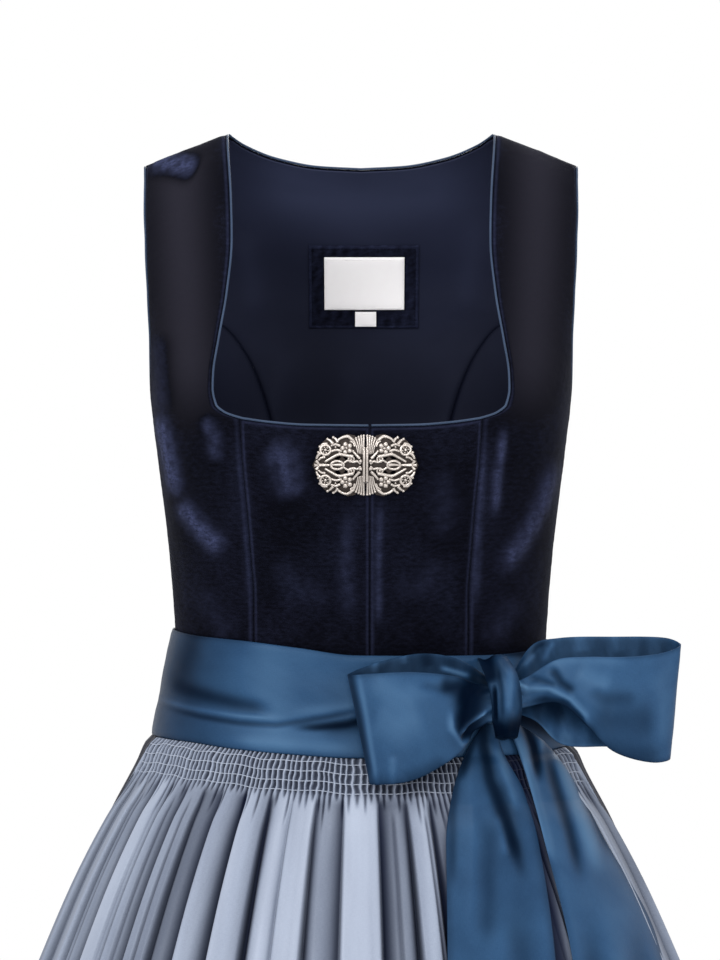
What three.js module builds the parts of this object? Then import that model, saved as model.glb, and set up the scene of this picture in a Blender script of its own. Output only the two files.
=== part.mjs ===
// A dirndl, size 36, filled out as if worn: a velvet bodice with wide straps and a low square neck,
// a gathered skirt, and an apron whose satin waistband ties in a bow at the wearer's left.
// Millimetres, +Z up. The front faces -Y and the wearer's left is at +X.
// The origin is midway between the two neck points, where the shoulders carry the dress.

import * as THREE from 'three';

// Driving sizes
const NECK_POINT = 95.5;
const SHOULDER_END_DROP = 0.4;
const SHOULDER_FADE_LEVEL = -170;
const UNDERARM = -195;
const BODICE_HEM = -385;
const SKIRT_HEM = -1090;
const APRON_HEM = -1065;
const VELVET = 1.6;
const LINING = 1.2;
const SATIN = 1.4;
const TAFFETA = 2.0;
const LABEL_CLOTH = 1.0;
const LABEL_STAND_OFF = 0.7;
const SEAM_GAP = 0.3;
const CLOSURE_X = 6;
const PIPING_RADIUS = 1.5;
const PIPING_SIDES = 5;

// Gathers: how many of each the cloth has all round
const SKIRT_PLEATS = 52;
const SHIRRING_WAVES = 60;
const APRON_FOLDS = 24;
const APRON_EDGE_ANGLE = 70;

// Bodice sections from the shoulder line down: half width at the side, and depth to front and back
const BODY = [
  { level: 0, side: 154.5, front: 0, back: 0, square: 4 },
  { level: -2, side: 154.7, front: 11, back: 10, square: 4 },
  { level: -6, side: 155, front: 20, back: 18, square: 4 },
  { level: -12, side: 155.3, front: 30, back: 27, square: 3.9 },
  { level: -22, side: 156, front: 43, back: 39, square: 3.75 },
  { level: -40, side: 157, front: 60, back: 57, square: 3.5 },
  { level: -70, side: 157.5, front: 78, back: 77, square: 3.1 },
  { level: -110, side: 156.2, front: 97, back: 94, square: 2.8 },
  { level: -150, side: 152.5, front: 112, back: 101, square: 2.6 },
  { level: -195, side: 148, front: 123, back: 101, square: 2.5 },
  { level: -228, side: 144, front: 127, back: 96, square: 2.45 },
  { level: -260, side: 140, front: 122, back: 90, square: 2.4 },
  { level: -300, side: 135.5, front: 108, back: 82, square: 2.35 },
  { level: -345, side: 132, front: 94, back: 78, square: 2.3 },
  { level: -385, side: 130, front: 86, back: 78, square: 2.25 },
];

// Armhole edge, as the section angle at each level: 0 is centre front or back, 90 the side seam
const ARMHOLE = [
  { level: 0, angle: 78 },
  { level: -12, angle: 75 },
  { level: -38, angle: 71 },
  { level: -65, angle: 69 },
  { level: -100, angle: 69 },
  { level: -135, angle: 71.5 },
  { level: -165, angle: 77 },
  { level: -183, angle: 83 },
  { level: -190, angle: 86.5 },
  { level: -195, angle: 90 },
];

// Front neckline: its upright edge by level, and its lower edge by distance from centre front
const NECK_EDGE = [
  { level: 0, x: 95.5 },
  { level: -51, x: 91 },
  { level: -82, x: 90 },
  { level: -117, x: 93 },
  { level: -150, x: 98.5 },
  { level: -173, x: 102 },
  { level: -183, x: 102.3 },
  { level: -195, x: 99.8 },
  { level: -200.6, x: 93.4 },
  { level: -204.6, x: 82.5 },
];
const NECK_LOWER = [
  { x: 0, level: -210 },
  { x: 38, level: -209.4 },
  { x: 62, level: -207.5 },
  { x: 82.5, level: -204.6 },
];
const NECK_CORNER = -204.6;
const NECK_CORNER_X = 82.5;
const FRONT_SEAM = [
  { level: -204.6, x: 82.5 },
  { level: -232, x: 81 },
  { level: -265, x: 78 },
  { level: -300, x: 75.5 },
  { level: -325, x: 74 },
  { level: -385, x: 74 },
];

// Back neckline by the fraction of the half width, and the curved back seam that enters the armhole
const NECK_FRACTION = 0.62;
const BACK_NECK = [
  { fraction: 0, level: -22 },
  { fraction: 0.2, level: -20.5 },
  { fraction: 0.4, level: -15 },
  { fraction: 0.55, level: -6.5 },
  { fraction: 0.62, level: 0 },
];
const BACK_NECK_REACH = -60;
const BACK_SEAM_TOP = -118;
const BACK_SEAM = [
  { level: -118, x: 147.5 },
  { level: -124, x: 122 },
  { level: -132, x: 103 },
  { level: -146, x: 90 },
  { level: -165, x: 79 },
  { level: -190, x: 70 },
  { level: -240, x: 58 },
  { level: -300, x: 49 },
  { level: -385, x: 44 },
];

// Skirt sections from the waist seam to the hem, to the middle of the gathers, with their height.
// Levels here and on the band and apron are heights at the right side seam, where the band's lower
// edge is at BAND_LOW; round the waist they sink with that edge.
const BAND_TOP = -351;
const BAND_LOW = -425;
const SKIRT = [
  { level: -385, side: 131.2, front: 87.5, back: 80, gather: 1.0 },
  { level: -410, side: 140.3, front: 94.5, back: 87.5, gather: 1.4 },
  { level: -424, side: 143.8, front: 98.5, back: 91.5, gather: 1.6 },
  { level: -431, side: 150, front: 103.5, back: 97, gather: 2.4 },
  { level: -445, side: 155.5, front: 111, back: 105, gather: 3.2 },
  { level: -481, side: 172.5, front: 130, back: 127, gather: 5 },
  { level: -560, side: 205, front: 166, back: 162, gather: 7 },
  { level: -680, side: 249, front: 213, back: 210, gather: 9 },
  { level: -820, side: 298, front: 268, back: 266, gather: 11 },
  { level: -960, side: 344, front: 322, back: 320, gather: 13 },
  { level: -1090, side: 386, front: 368, back: 366, gather: 15 },
];
const SKIRT_ROWS = [-385.3, -410, -424, -433, -481, -680, SKIRT_HEM];
const SKIRT_SQUARE = 2.15;
const GATHER_UNDER_APRON = 0.35;

// Waistband: the outer face's sections, and its upper and lower edge by angle round the waist
const BAND = [
  { level: -351, side: 133.9, front: 94.5, back: 80.3 },
  { level: -366, side: 137, front: 94, back: 82.5 },
  { level: -380, side: 139.8, front: 95, back: 86 },
  { level: -400, side: 143.6, front: 98, back: 91 },
  { level: -425, side: 148.8, front: 104, back: 97 },
];
const BAND_SQUARE = 2.25;
const BAND_EDGES = [
  { angle: -180, top: -354, low: -428 },
  { angle: -90, top: -351, low: -425 },
  { angle: -52, top: -354.5, low: -426.5 },
  { angle: -35, top: -356.5, low: -429.7 },
  { angle: -16, top: -361, low: -433 },
  { angle: 0, top: -366, low: -435.3 },
  { angle: 36, top: -366.5, low: -435 },
  { angle: 90, top: -360, low: -431 },
  { angle: 180, top: -354, low: -428 },
];
const SINK_START = -385;
const SINK_FULL = -408;
const SINK_FADE = -481;
const SINK_END = -760;
const BAND_FRONT_ANGLE = 95;
const BAND_ROWS = [
  { height: 0, relief: 0 },
  { height: 0.22, relief: 0.6 },
  { height: 0.36, relief: -0.5 },
  { height: 0.62, relief: 0.8 },
  { height: 1, relief: 0 },
];

// Apron: rows of shirring under the band, then the falling folds, by level
const THREAD_ROW = 0.6;
const PUFF_ROW = 2.4;
const SHIRRING = [
  { level: -425.4, ridge: THREAD_ROW },
  { level: -429, ridge: PUFF_ROW },
  { level: -432.5, ridge: THREAD_ROW },
  { level: -436, ridge: PUFF_ROW },
  { level: -440, ridge: THREAD_ROW },
  { level: -444, ridge: PUFF_ROW },
  { level: -448, ridge: THREAD_ROW },
];
const APRON_FALLS = [
  { level: -448, fold: 0.3 },
  { level: -473, fold: 4 },
  { level: -535, fold: 7 },
  { level: -685, fold: 9 },
  { level: APRON_HEM, fold: 13 },
];
const APRON_CLEARANCE = 1.3;
const FOLD_STRAY = 0.55;
const FOLD_STRAY_TURNS = 5;

// Bow: each strip's stations by its upper and lower edge; bulge is how far its middle stands forward
const LOOP_RIGHT_HAND = [
  { topX: 94, topY: -106, topZ: -386, lowX: 94, lowY: -107.6, lowZ: -406, bulge: 0.6 },
  { topX: 82, topY: -104, topZ: -384, lowX: 82, lowY: -109, lowZ: -414, bulge: 4 },
  { topX: 62, topY: -115, topZ: -379, lowX: 64, lowY: -122, lowZ: -432, bulge: 5 },
  { topX: 34, topY: -121, topZ: -376, lowX: 38, lowY: -129, lowZ: -447, bulge: 4 },
  { topX: 8, topY: -120, topZ: -377, lowX: 18, lowY: -130, lowZ: -451, bulge: 2 },
  { topX: -8, topY: -113, topZ: -378, lowX: 7, lowY: -125, lowZ: -451, bulge: 0 },
  { topX: -5, topY: -108, topZ: -376, lowX: 12, lowY: -120.5, lowZ: -449, bulge: 0 },
  { topX: 15, topY: -105, topZ: -369, lowX: 26, lowY: -119, lowZ: -441, bulge: 0 },
  { topX: 42, topY: -104, topZ: -364, lowX: 46, lowY: -113, lowZ: -430, bulge: 0 },
  { topX: 66, topY: -100, topZ: -368, lowX: 68, lowY: -105, lowZ: -420, bulge: 0 },
  { topX: 92, topY: -78.4, topZ: -385, lowX: 92, lowY: -81.4, lowZ: -407, bulge: 0 },
];
const LOOP_LEFT_HAND = [
  { topX: 99.5, topY: -109, topZ: -385, lowX: 99.5, lowY: -110.8, lowZ: -405, bulge: 1.6 },
  { topX: 112, topY: -98, topZ: -381, lowX: 113, lowY: -99, lowZ: -401, bulge: 2 },
  { topX: 133, topY: -102, topZ: -368.5, lowX: 134, lowY: -106, lowZ: -398, bulge: 3 },
  { topX: 152, topY: -104, topZ: -366.5, lowX: 152, lowY: -111, lowZ: -412, bulge: 4 },
  { topX: 175, topY: -104, topZ: -366.5, lowX: 171, lowY: -114, lowZ: -430, bulge: 4 },
  { topX: 205, topY: -98, topZ: -364, lowX: 199, lowY: -109, lowZ: -438, bulge: 2 },
  { topX: 219, topY: -90, topZ: -359, lowX: 211, lowY: -100, lowZ: -436, bulge: 0 },
  { topX: 212, topY: -80, topZ: -355, lowX: 206, lowY: -92, lowZ: -432, bulge: 0 },
  { topX: 172, topY: -72, topZ: -354, lowX: 172, lowY: -86, lowZ: -429, bulge: -3 },
  { topX: 136, topY: -72, topZ: -355, lowX: 137, lowY: -86, lowZ: -427, bulge: -2 },
  { topX: 119, topY: -74, topZ: -359, lowX: 119, lowY: -84, lowZ: -411, bulge: 0 },
  { topX: 101, topY: -72, topZ: -385, lowX: 101, lowY: -74.6, lowZ: -405, bulge: 0 },
];
const KNOT = [
  { topX: 80, topY: -81, topZ: -369, lowX: 93, lowY: -75.1, lowZ: -369, bulge: 0.6 },
  { topX: 81, topY: -97, topZ: -371, lowX: 99, lowY: -95, lowZ: -366, bulge: 3 },
  { topX: 85.5, topY: -107, topZ: -383, lowX: 106.5, lowY: -105, lowZ: -379, bulge: 3 },
  { topX: 88.5, topY: -111, topZ: -397, lowX: 109, lowY: -109, lowZ: -396, bulge: 3 },
  { topX: 89, topY: -110, topZ: -409, lowX: 108.5, lowY: -107, lowZ: -410, bulge: 3 },
  { topX: 91, topY: -103, topZ: -419, lowX: 107, lowY: -99, lowZ: -420, bulge: 2 },
  { topX: 92, topY: -88.6, topZ: -423, lowX: 106, lowY: -81, lowZ: -423, bulge: 1 },
];

// The two tails lie on the apron and skirt: their edges by height, and how far they stand off
const TAIL_RIGHT_HAND = [
  { z: -413, inner: 84, outer: 92, off: 1.9 },
  { z: -431, inner: 72, outer: 97, off: 1.6 },
  { z: -458, inner: 62, outer: 111, off: 0.5 },
  { z: -490, inner: 57, outer: 120, off: 0.4 },
  { z: -560, inner: 57, outer: 129, off: 0.4 },
  { z: -660, inner: 62, outer: 134, off: 0.4 },
  { z: -775, inner: 66, outer: 138, off: 0.4 },
];
const TAIL_LEFT_HAND = [
  { z: -413, inner: 99, outer: 107, off: 2.8 },
  { z: -428, inner: 106, outer: 128, off: 4 },
  { z: -455, inner: 115, outer: 148, off: 2.6 },
  { z: -490, inner: 124, outer: 166, off: 2 },
  { z: -560, inner: 140, outer: 203, off: 1.4 },
  { z: -660, inner: 152, outer: 222, off: 1.4 },
  { z: -790, inner: 163, outer: 234, off: 1.4 },
];
const TAIL_ANGLE = 45;
const TAIL_CREASES = 2;
const TAIL_CREASE_HEIGHT = 1.6;

// Clasp: one half's outline from the split to its tip, and its openings as centre and half sizes
const CLASP_CENTRE_X = 3;
const CLASP_CENTRE_Z = -236;
const CLASP_THICKNESS = 1.8;
const CLASP_SPLIT = 0.2;
const CLASP_STAND_OFF = 1.2;
const CLASP_OUTLINE = [
  { out: 0, up: 14 },
  { out: 3.5, up: 16.5 },
  { out: 7, up: 20 },
  { out: 12, up: 21 },
  { out: 17, up: 18.5 },
  { out: 21, up: 17.5 },
  { out: 26, up: 18 },
  { out: 30, up: 14 },
  { out: 29.5, up: 9 },
  { out: 32.5, up: 6.5 },
  { out: 35.5, up: 0 },
];
const CLASP_OPENINGS = [
  { out: 7.5, up: 6, halfOut: 2.2, halfUp: 3.2 },
  { out: 13, up: 5.5, halfOut: 2.2, halfUp: 2.6 },
  { out: 17.5, up: 12.8, halfOut: 2.1, halfUp: 2.2 },
  { out: 19, up: 5.2, halfOut: 2.6, halfUp: 2.1 },
  { out: 25, up: 9.5, halfOut: 2.3, halfUp: 2.6 },
];

// Label patch and what is sewn on it, by its middle and size on the back lining
const PATCH = { x: 2, level: -103, width: 81, height: 61, depth: 0 };
const LABEL = { x: 2.5, level: -100, width: 59, height: 39, depth: 1 };
const TAG = { x: 3.5, level: -126.5, width: 15.5, height: 11, depth: 1 };

const DEGREES = Math.PI / 180;
const NUDGE = 0.4;

// Monotone cubic interpolation of one column of a table, read by another
function lookUp(table, key, column, at) {
  const rows = table[0][key] <= table[table.length - 1][key] ? table : [...table].reverse();
  const last = rows.length - 1;
  const here = Math.min(Math.max(at, rows[0][key]), rows[last][key]);
  let k = 0;
  while (k < last - 1 && here > rows[k + 1][key]) k += 1;
  const slope = (i) => (rows[i + 1][column] - rows[i][column]) / (rows[i + 1][key] - rows[i][key]);
  const tangent = (i) => {
    if (i === 0) return slope(0);
    if (i === last) return slope(last - 1);
    const before = slope(i - 1);
    const after = slope(i);
    return before * after <= 0 ? 0 : (2 * before * after) / (before + after);
  };
  const span = rows[k + 1][key] - rows[k][key];
  const t = (here - rows[k][key]) / span;
  const rise = t * t * (3 - 2 * t);
  const leave = t * (1 - t) * (1 - t) * span * tangent(k);
  const arrive = t * t * (t - 1) * span * tangent(k + 1);
  return rows[k][column] + (rows[k + 1][column] - rows[k][column]) * rise + leave + arrive;
}

function mix(a, b, t) {
  return a + (b - a) * t;
}

function smooth(low, high, at) {
  const t = Math.min(Math.max((at - low) / (high - low), 0), 1);
  return t * t * (3 - 2 * t);
}

function evenly(count) {
  return Array.from({ length: count + 1 }, (_, k) => k / count);
}

// A closed wall between an outer and an inner grid of points
function wallGeometry(outer, inner) {
  const points = [];
  const faces = [];
  const put = (grid) => grid.map((row) => row.map((point) => points.push(point) - 1));
  const outerRows = put(outer);
  const innerRows = put(inner);

  const skin = (rows, inward) => {
    for (let r = 0; r < rows.length - 1; r += 1) {
      for (let c = 0; c < rows[r].length - 1; c += 1) {
        const near = [rows[r][c], rows[r][c + 1], rows[r + 1][c + 1]];
        const far = [rows[r][c], rows[r + 1][c + 1], rows[r + 1][c]];
        faces.push(...(inward ? [near.reverse(), far.reverse()] : [near, far]));
      }
    }
  };
  const bridge = (from, to, forward) => {
    let a = 0;
    let b = 0;
    while (a < from.length - 1 || b < to.length - 1) {
      const nextA = (a + 1) / (from.length - 1);
      const nextB = (b + 1) / (to.length - 1);
      const stepA = a < from.length - 1 && (b === to.length - 1 || nextA <= nextB + 1e-9);
      const face = stepA ? [from[a], from[a + 1], to[b]] : [to[b + 1], to[b], from[a]];
      faces.push(forward ? face : face.reverse());
      if (stepA) a += 1;
      else b += 1;
    }
  };
  skin(outerRows, false);
  skin(innerRows, true);
  bridge(outerRows[0], innerRows[0], false);
  bridge(outerRows.at(-1), innerRows.at(-1), true);
  bridge(outerRows.map((row) => row[0]), innerRows.map((row) => row[0]), true);
  bridge(outerRows.map((row) => row.at(-1)), innerRows.map((row) => row.at(-1)), false);
  return solidGeometry(points, faces);
}

// A geometry from points and faces, turned so that its faces point out
function solidGeometry(points, faces) {
  const volume = faces.reduce((sum, [a, b, c]) => {
    const cross = new THREE.Vector3().crossVectors(points[b], points[c]);
    return sum + points[a].dot(cross);
  }, 0);
  if (volume < 0) faces.forEach((face) => face.reverse());
  const geometry = new THREE.BufferGeometry();
  const numbers = points.flatMap((point) => [point.x, point.y, point.z]);
  geometry.setAttribute('position', new THREE.Float32BufferAttribute(numbers, 3));
  geometry.setIndex(faces.flat());
  geometry.computeVertexNormals();
  return geometry;
}

// Moves each point of a grid along the grid's own normal there
function offsetGrid(grid, distance) {
  return grid.map((row, r) => row.map((point, c) => {
    const before = grid[Math.max(r - 1, 0)][c];
    const after = grid[Math.min(r + 1, grid.length - 1)][c];
    const left = row[Math.max(c - 1, 0)];
    const right = row[Math.min(c + 1, row.length - 1)];
    const along = new THREE.Vector3().subVectors(after, before);
    const across = new THREE.Vector3().subVectors(right, left);
    const normal = along.cross(across).normalize();
    return point.clone().addScaledVector(normal, distance);
  }));
}

// One point of a flattened oval: side is the half width, depth the reach along Y, angle from centre
function ovalPoint(side, depth, square, angle, z) {
  const sine = Math.sin(angle * DEGREES);
  const cosine = Math.cos(angle * DEGREES);
  const x = side * Math.sign(sine) * Math.abs(sine) ** (2 / square);
  const y = -depth * Math.sign(cosine) * Math.abs(cosine) ** (2 / square);
  return new THREE.Vector3(x, y, z);
}

// The bodice's outer face. facing is 1 on the front and -1 on the back; angle runs from its centre.
function bodyPoint(angle, level, facing) {
  const side = lookUp(BODY, 'level', 'side', level);
  const depth = lookUp(BODY, 'level', facing > 0 ? 'front' : 'back', level);
  const point = ovalPoint(side, depth, lookUp(BODY, 'level', 'square', level), angle, level);
  point.y = facing * Math.min(point.y, -SEAM_GAP / 2);
  const slope = SHOULDER_END_DROP * smooth(SHOULDER_FADE_LEVEL, -10, level);
  point.z -= slope * Math.max(0, Math.abs(point.x) - NECK_POINT);
  return point;
}

function bodyNormal(angle, level, facing) {
  const low = Math.max(level - NUDGE, BODICE_HEM);
  const high = Math.min(low + 2 * NUDGE, -0.01);
  const left = Math.max(angle - NUDGE, -89.9);
  const right = Math.min(left + 2 * NUDGE, 89.9);
  const up = bodyPoint(angle, high, facing).sub(bodyPoint(angle, low, facing));
  const round = bodyPoint(right, level, facing).sub(bodyPoint(left, level, facing));
  const normal = round.cross(up).multiplyScalar(facing);
  const onSeam = Math.abs(bodyPoint(angle, level, facing).y) < SEAM_GAP;
  if (onSeam) normal.y = 0;
  if (onSeam && normal.length() === 0) normal.set(0, 0, 1);
  return normal.normalize();
}

function angleOf(x, level) {
  const share = Math.min(Math.abs(x) / lookUp(BODY, 'level', 'side', level), 1);
  const turn = Math.asin(share ** (lookUp(BODY, 'level', 'square', level) / 2)) / DEGREES;
  return Math.sign(x) * turn;
}

// A panel of the bodice. place gives the angle and level at each column and row of its grid.
function bodyPanel(columns, rows, place, facing, inset, thickness) {
  const grid = (depth) => rows.map((row) => columns.map((column) => {
    const { angle, level } = place(column, row);
    return bodyPoint(angle, level, facing).addScaledVector(bodyNormal(angle, level, facing), -depth);
  }));
  return wallGeometry(grid(inset), grid(inset + thickness));
}

const LOWER_ROWS = [BODICE_HEM, -345, -300, -262, -232];
const STRAP_ROWS = [-34, -18, -9, -3.5, -1, 0];
const NECK_ROWS = [NECK_CORNER, -200.6, -195, -190, -183, -165, -140, -112, -84, -56];
const FRONT_ROWS = [...LOWER_ROWS, ...NECK_ROWS, ...STRAP_ROWS];
const SIDE_BACK_ROWS = [...LOWER_ROWS, -195, -190, -183, -165, -146, -132, -124];
const BACK_ROWS = [...SIDE_BACK_ROWS, BACK_SEAM_TOP, -96, -74, -52, ...STRAP_ROWS];

const HALF_GAP = SEAM_GAP / 2 + 0.03;

function frontCentre(hand) {
  const place = (column, row) => {
    const topX = mix(0, NECK_CORNER_X, column);
    const top = lookUp(NECK_LOWER, 'x', 'level', topX);
    const level = mix(BODICE_HEM, top, row);
    const middle = hand * CLOSURE_X + HALF_GAP;
    const seam = lookUp(FRONT_SEAM, 'level', 'x', level) - HALF_GAP;
    return { angle: angleOf(hand * mix(middle, seam, column), level), level };
  };
  const rows = LOWER_ROWS.map((level) => (level - BODICE_HEM) / (NECK_CORNER - BODICE_HEM));
  return bodyPanel(evenly(4), [...rows, 1], place, 1, 0, VELVET);
}

function armholeAngle(level) {
  return level <= UNDERARM ? 90 : lookUp(ARMHOLE, 'level', 'angle', level);
}

function frontSide(hand) {
  const place = (column, level) => {
    const low = level < NECK_CORNER;
    const edge = low ? lookUp(FRONT_SEAM, 'level', 'x', level) : lookUp(NECK_EDGE, 'level', 'x', level);
    const inner = angleOf(edge + HALF_GAP, level);
    return { angle: hand * mix(inner, armholeAngle(level), column), level };
  };
  return bodyPanel(evenly(5), FRONT_ROWS, place, 1, 0, VELVET);
}

function backSeamX(level) {
  if (level < BACK_SEAM_TOP) return lookUp(BACK_SEAM, 'level', 'x', level);
  return Math.abs(bodyPoint(armholeAngle(level), level, -1).x);
}

function backPlace(column, level) {
  const reach = Math.max(0, (level - BACK_NECK_REACH) / -BACK_NECK_REACH);
  const dip = lookUp(BACK_NECK, 'fraction', 'level', Math.abs(column)) * reach;
  const lowered = level + dip;
  const gap = level < BACK_SEAM_TOP ? HALF_GAP : 0;
  return { angle: angleOf(column * (backSeamX(lowered) - gap), lowered), level: lowered };
}

const NECK_COLUMNS = [0, 0.18, 0.34, 0.49, 0.57, NECK_FRACTION];
const HALF_BACK = [...NECK_COLUMNS, 0.81, 1];
const BACK_COLUMNS = [...HALF_BACK.slice(1).map((share) => -share).reverse(), ...HALF_BACK];

function backCentre(rows, inset, thickness) {
  return bodyPanel(BACK_COLUMNS, rows, backPlace, -1, inset, thickness);
}

function backSide(hand, inset, thickness) {
  const place = (column, level) => {
    const inner = angleOf(backSeamX(level) + HALF_GAP, level);
    return { angle: hand * mix(inner, armholeAngle(level), column), level };
  };
  return bodyPanel(evenly(4), SIDE_BACK_ROWS, place, -1, inset, thickness);
}

// What is sewn flat on the back lining's inner face
function onLining(sewn) {
  const depth = VELVET + LINING + SEAM_GAP + LABEL_STAND_OFF + sewn.depth * (LABEL_CLOTH + 2 * SEAM_GAP);
  const place = (column, row) => {
    const level = sewn.level + mix(-sewn.height / 2, sewn.height / 2, row);
    return { angle: angleOf(sewn.x + mix(-sewn.width / 2, sewn.width / 2, column), level), level };
  };
  return bodyPanel(evenly(4), evenly(3), place, -1, depth, LABEL_CLOTH);
}

// A round cord sewn along an edge of the bodice, just past it, in the middle of the wall
function piping(path, closed) {
  const edge = path.map(({ angle, level, facing }) => bodyPoint(angle, level, facing));
  const count = path.length;
  const rings = path.map((step, k) => {
    const before = edge[closed ? (k + count - 1) % count : Math.max(k - 1, 0)];
    const after = edge[closed ? (k + 1) % count : Math.min(k + 1, count - 1)];
    const along = new THREE.Vector3().subVectors(after, before).normalize();
    const normal = bodyNormal(step.angle, step.level, step.facing);
    const out = new THREE.Vector3().crossVectors(normal, along).normalize();
    const face = new THREE.Vector3().crossVectors(along, out).normalize();
    const centre = edge[k].clone().addScaledVector(out, PIPING_RADIUS + SEAM_GAP);
    centre.addScaledVector(face, -VELVET / 2);
    return Array.from({ length: PIPING_SIDES }, (_, s) => {
      const turn = (s / PIPING_SIDES) * 2 * Math.PI;
      const across = centre.clone().addScaledVector(out, PIPING_RADIUS * Math.cos(turn));
      return across.addScaledVector(face, PIPING_RADIUS * Math.sin(turn));
    });
  });
  const points = rings.flat();
  const faces = [];
  const spans = closed ? count : count - 1;
  for (let k = 0; k < spans; k += 1) {
    for (let s = 0; s < PIPING_SIDES; s += 1) {
      const here = k * PIPING_SIDES;
      const next = ((k + 1) % count) * PIPING_SIDES;
      const turn = (s + 1) % PIPING_SIDES;
      faces.push([here + s, here + turn, next + turn], [here + s, next + turn, next + s]);
    }
  }
  for (let s = 1; !closed && s < PIPING_SIDES - 1; s += 1) {
    const end = (count - 1) * PIPING_SIDES;
    faces.push([0, s + 1, s], [end, end + s, end + s + 1]);
  }
  return solidGeometry(points, faces);
}

function frontNeckPath(hand) {
  const lower = [CLOSURE_X * hand + 1, 22, 42, 60, 72, 81].map((x) => (
    { x, level: lookUp(NECK_LOWER, 'x', 'level', x) }));
  const corner = [-203, -200.6, -198, -195, -190, -183, -173];
  const strap = [-160, -140, -117, -90, -65, -42, -24, -12, -5, -1.5];
  const edge = [...corner, ...strap].map((level) => (
    { x: lookUp(NECK_EDGE, 'level', 'x', level), level }));
  const path = [...lower, ...edge].map(({ x, level }) => (
    { angle: angleOf(hand * x, level), level, facing: 1 }));
  return hand > 0 ? path : path.reverse();
}

function backNeckPath() {
  const half = [0.615, 0.57, 0.49, 0.34, 0.18];
  const fractions = [...half, 0, ...half.map((f) => -f).reverse()];
  return fractions.map((fraction) => ({ ...backPlace(fraction, 0), facing: -1 }));
}

function armholePath(hand) {
  const point = (level, facing) => ({ angle: hand * armholeAngle(level), level, facing });
  const edge = (rows) => rows.filter((level) => level > UNDERARM && level < -1);
  const front = edge(FRONT_ROWS).reverse().map((level) => point(level, 1));
  const back = edge(BACK_ROWS).map((level) => point(level, -1));
  const ring = [...front, point(UNDERARM, 1), ...back, point(-0.05, -1)];
  return hand > 0 ? ring : ring.reverse();
}

function bandEdge(angle, column) {
  return lookUp(BAND_EDGES, 'angle', column, angle);
}

// The real height of a level of the skirt or apron at an angle round the waist
function sunkHeight(angle, level) {
  const share = smooth(-SINK_START, -SINK_FULL, -level) * (1 - smooth(-SINK_FADE, -SINK_END, -level));
  return level + (bandEdge(angle, 'low') - BAND_LOW) * share;
}

// The skirt's outer face; out moves it off, and its gathers are as high as wave says
function skirtPoint(angle, level, out, wave) {
  const back = Math.abs(angle) > 90;
  const side = lookUp(SKIRT, 'level', 'side', level);
  const depth = lookUp(SKIRT, 'level', back ? 'back' : 'front', level);
  const reach = out + wave * lookUp(SKIRT, 'level', 'gather', level);
  return ovalPoint(side + reach, depth + reach, SKIRT_SQUARE, angle, sunkHeight(angle, level));
}

function gatherShare(angle) {
  const open = smooth(APRON_EDGE_ANGLE - 8, APRON_EDGE_ANGLE + 6, Math.abs(angle));
  return mix(GATHER_UNDER_APRON, 1, open);
}

// One width of the skirt, from side seam to side seam; its gathers are at their middle on both
function skirtWidth(facing) {
  const start = facing > 0 ? -90 : 90;
  const seam = (angle, level, out) => {
    const point = skirtPoint(angle, level, out, 0);
    point.y = -facing * HALF_GAP;
    return point;
  };
  const gathers = (level, out) => Array.from({ length: SKIRT_PLEATS }, (_, k) => {
    const turn = start + ((k + 0.5) / SKIRT_PLEATS) * 180;
    const angle = turn > 180 ? turn - 360 : turn;
    return skirtPoint(angle, level, out, (k % 2 ? 1 : -1) * gatherShare(angle));
  });
  const grid = (out) => SKIRT_ROWS.map((level) => (
    [seam(start, level, out), ...gathers(level, out), seam(-start, level, out)]));
  return wallGeometry(grid(0), grid(-TAFFETA));
}

// The waistband's outer face at a share of its height from the lower edge
function bandPoint(angle, height, out) {
  const level = mix(BAND_LOW, BAND_TOP, height);
  const side = lookUp(BAND, 'level', 'side', level);
  const depth = lookUp(BAND, 'level', Math.abs(angle) > 90 ? 'back' : 'front', level);
  const z = mix(bandEdge(angle, 'low'), bandEdge(angle, 'top'), height);
  return ovalPoint(side + out, depth + out, BAND_SQUARE, angle, z);
}

// A stretch of the waistband between two angles, in signed degrees or running on past 180
function bandStretch(from, to, columns) {
  const grid = (out) => BAND_ROWS.map(({ height, relief }) => evenly(columns).map((t) => {
    const turn = mix(from, to, t);
    return bandPoint(turn > 180 ? turn - 360 : turn, height, out + relief);
  }));
  return wallGeometry(grid(0), grid(-SATIN));
}

// Apron: the height of a fold's crest at a column, uneven from fold to fold
function foldWave(t) {
  const turn = t * 2 * Math.PI;
  return Math.cos(APRON_FOLDS * turn + FOLD_STRAY * Math.sin(FOLD_STRAY_TURNS * turn));
}

// The apron's inner face lies just clear of the skirt's gathers; out moves it off
function apronPoint(t, level, out) {
  const angle = mix(-APRON_EDGE_ANGLE, APRON_EDGE_ANGLE, t);
  const rise = lookUp(SKIRT, 'level', 'gather', level) * gatherShare(angle);
  return skirtPoint(angle, level, rise + APRON_CLEARANCE + out, 0);
}

function apron() {
  const columns = evenly(SHIRRING_WAVES * 2);
  const shirred = ({ level, ridge }) => columns.map((t, k) => (
    apronPoint(t, level, TAFFETA + (k % 2) * ridge)));
  const folded = ({ level, fold }, out) => columns.map((t) => (
    apronPoint(t, level, out + fold * (1 + foldWave(t)))));
  const plain = ({ level }) => columns.map((t) => apronPoint(t, level, 0));
  const falls = APRON_FALLS.slice(1);
  const flat = [SHIRRING[0], SHIRRING[2], SHIRRING.at(-1)];
  const outer = [...SHIRRING.map(shirred), ...falls.map((row) => folded(row, TAFFETA))];
  const inner = [...flat.map(plain), ...falls.map((row) => folded(row, 0))];
  return wallGeometry(outer, inner);
}

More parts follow.
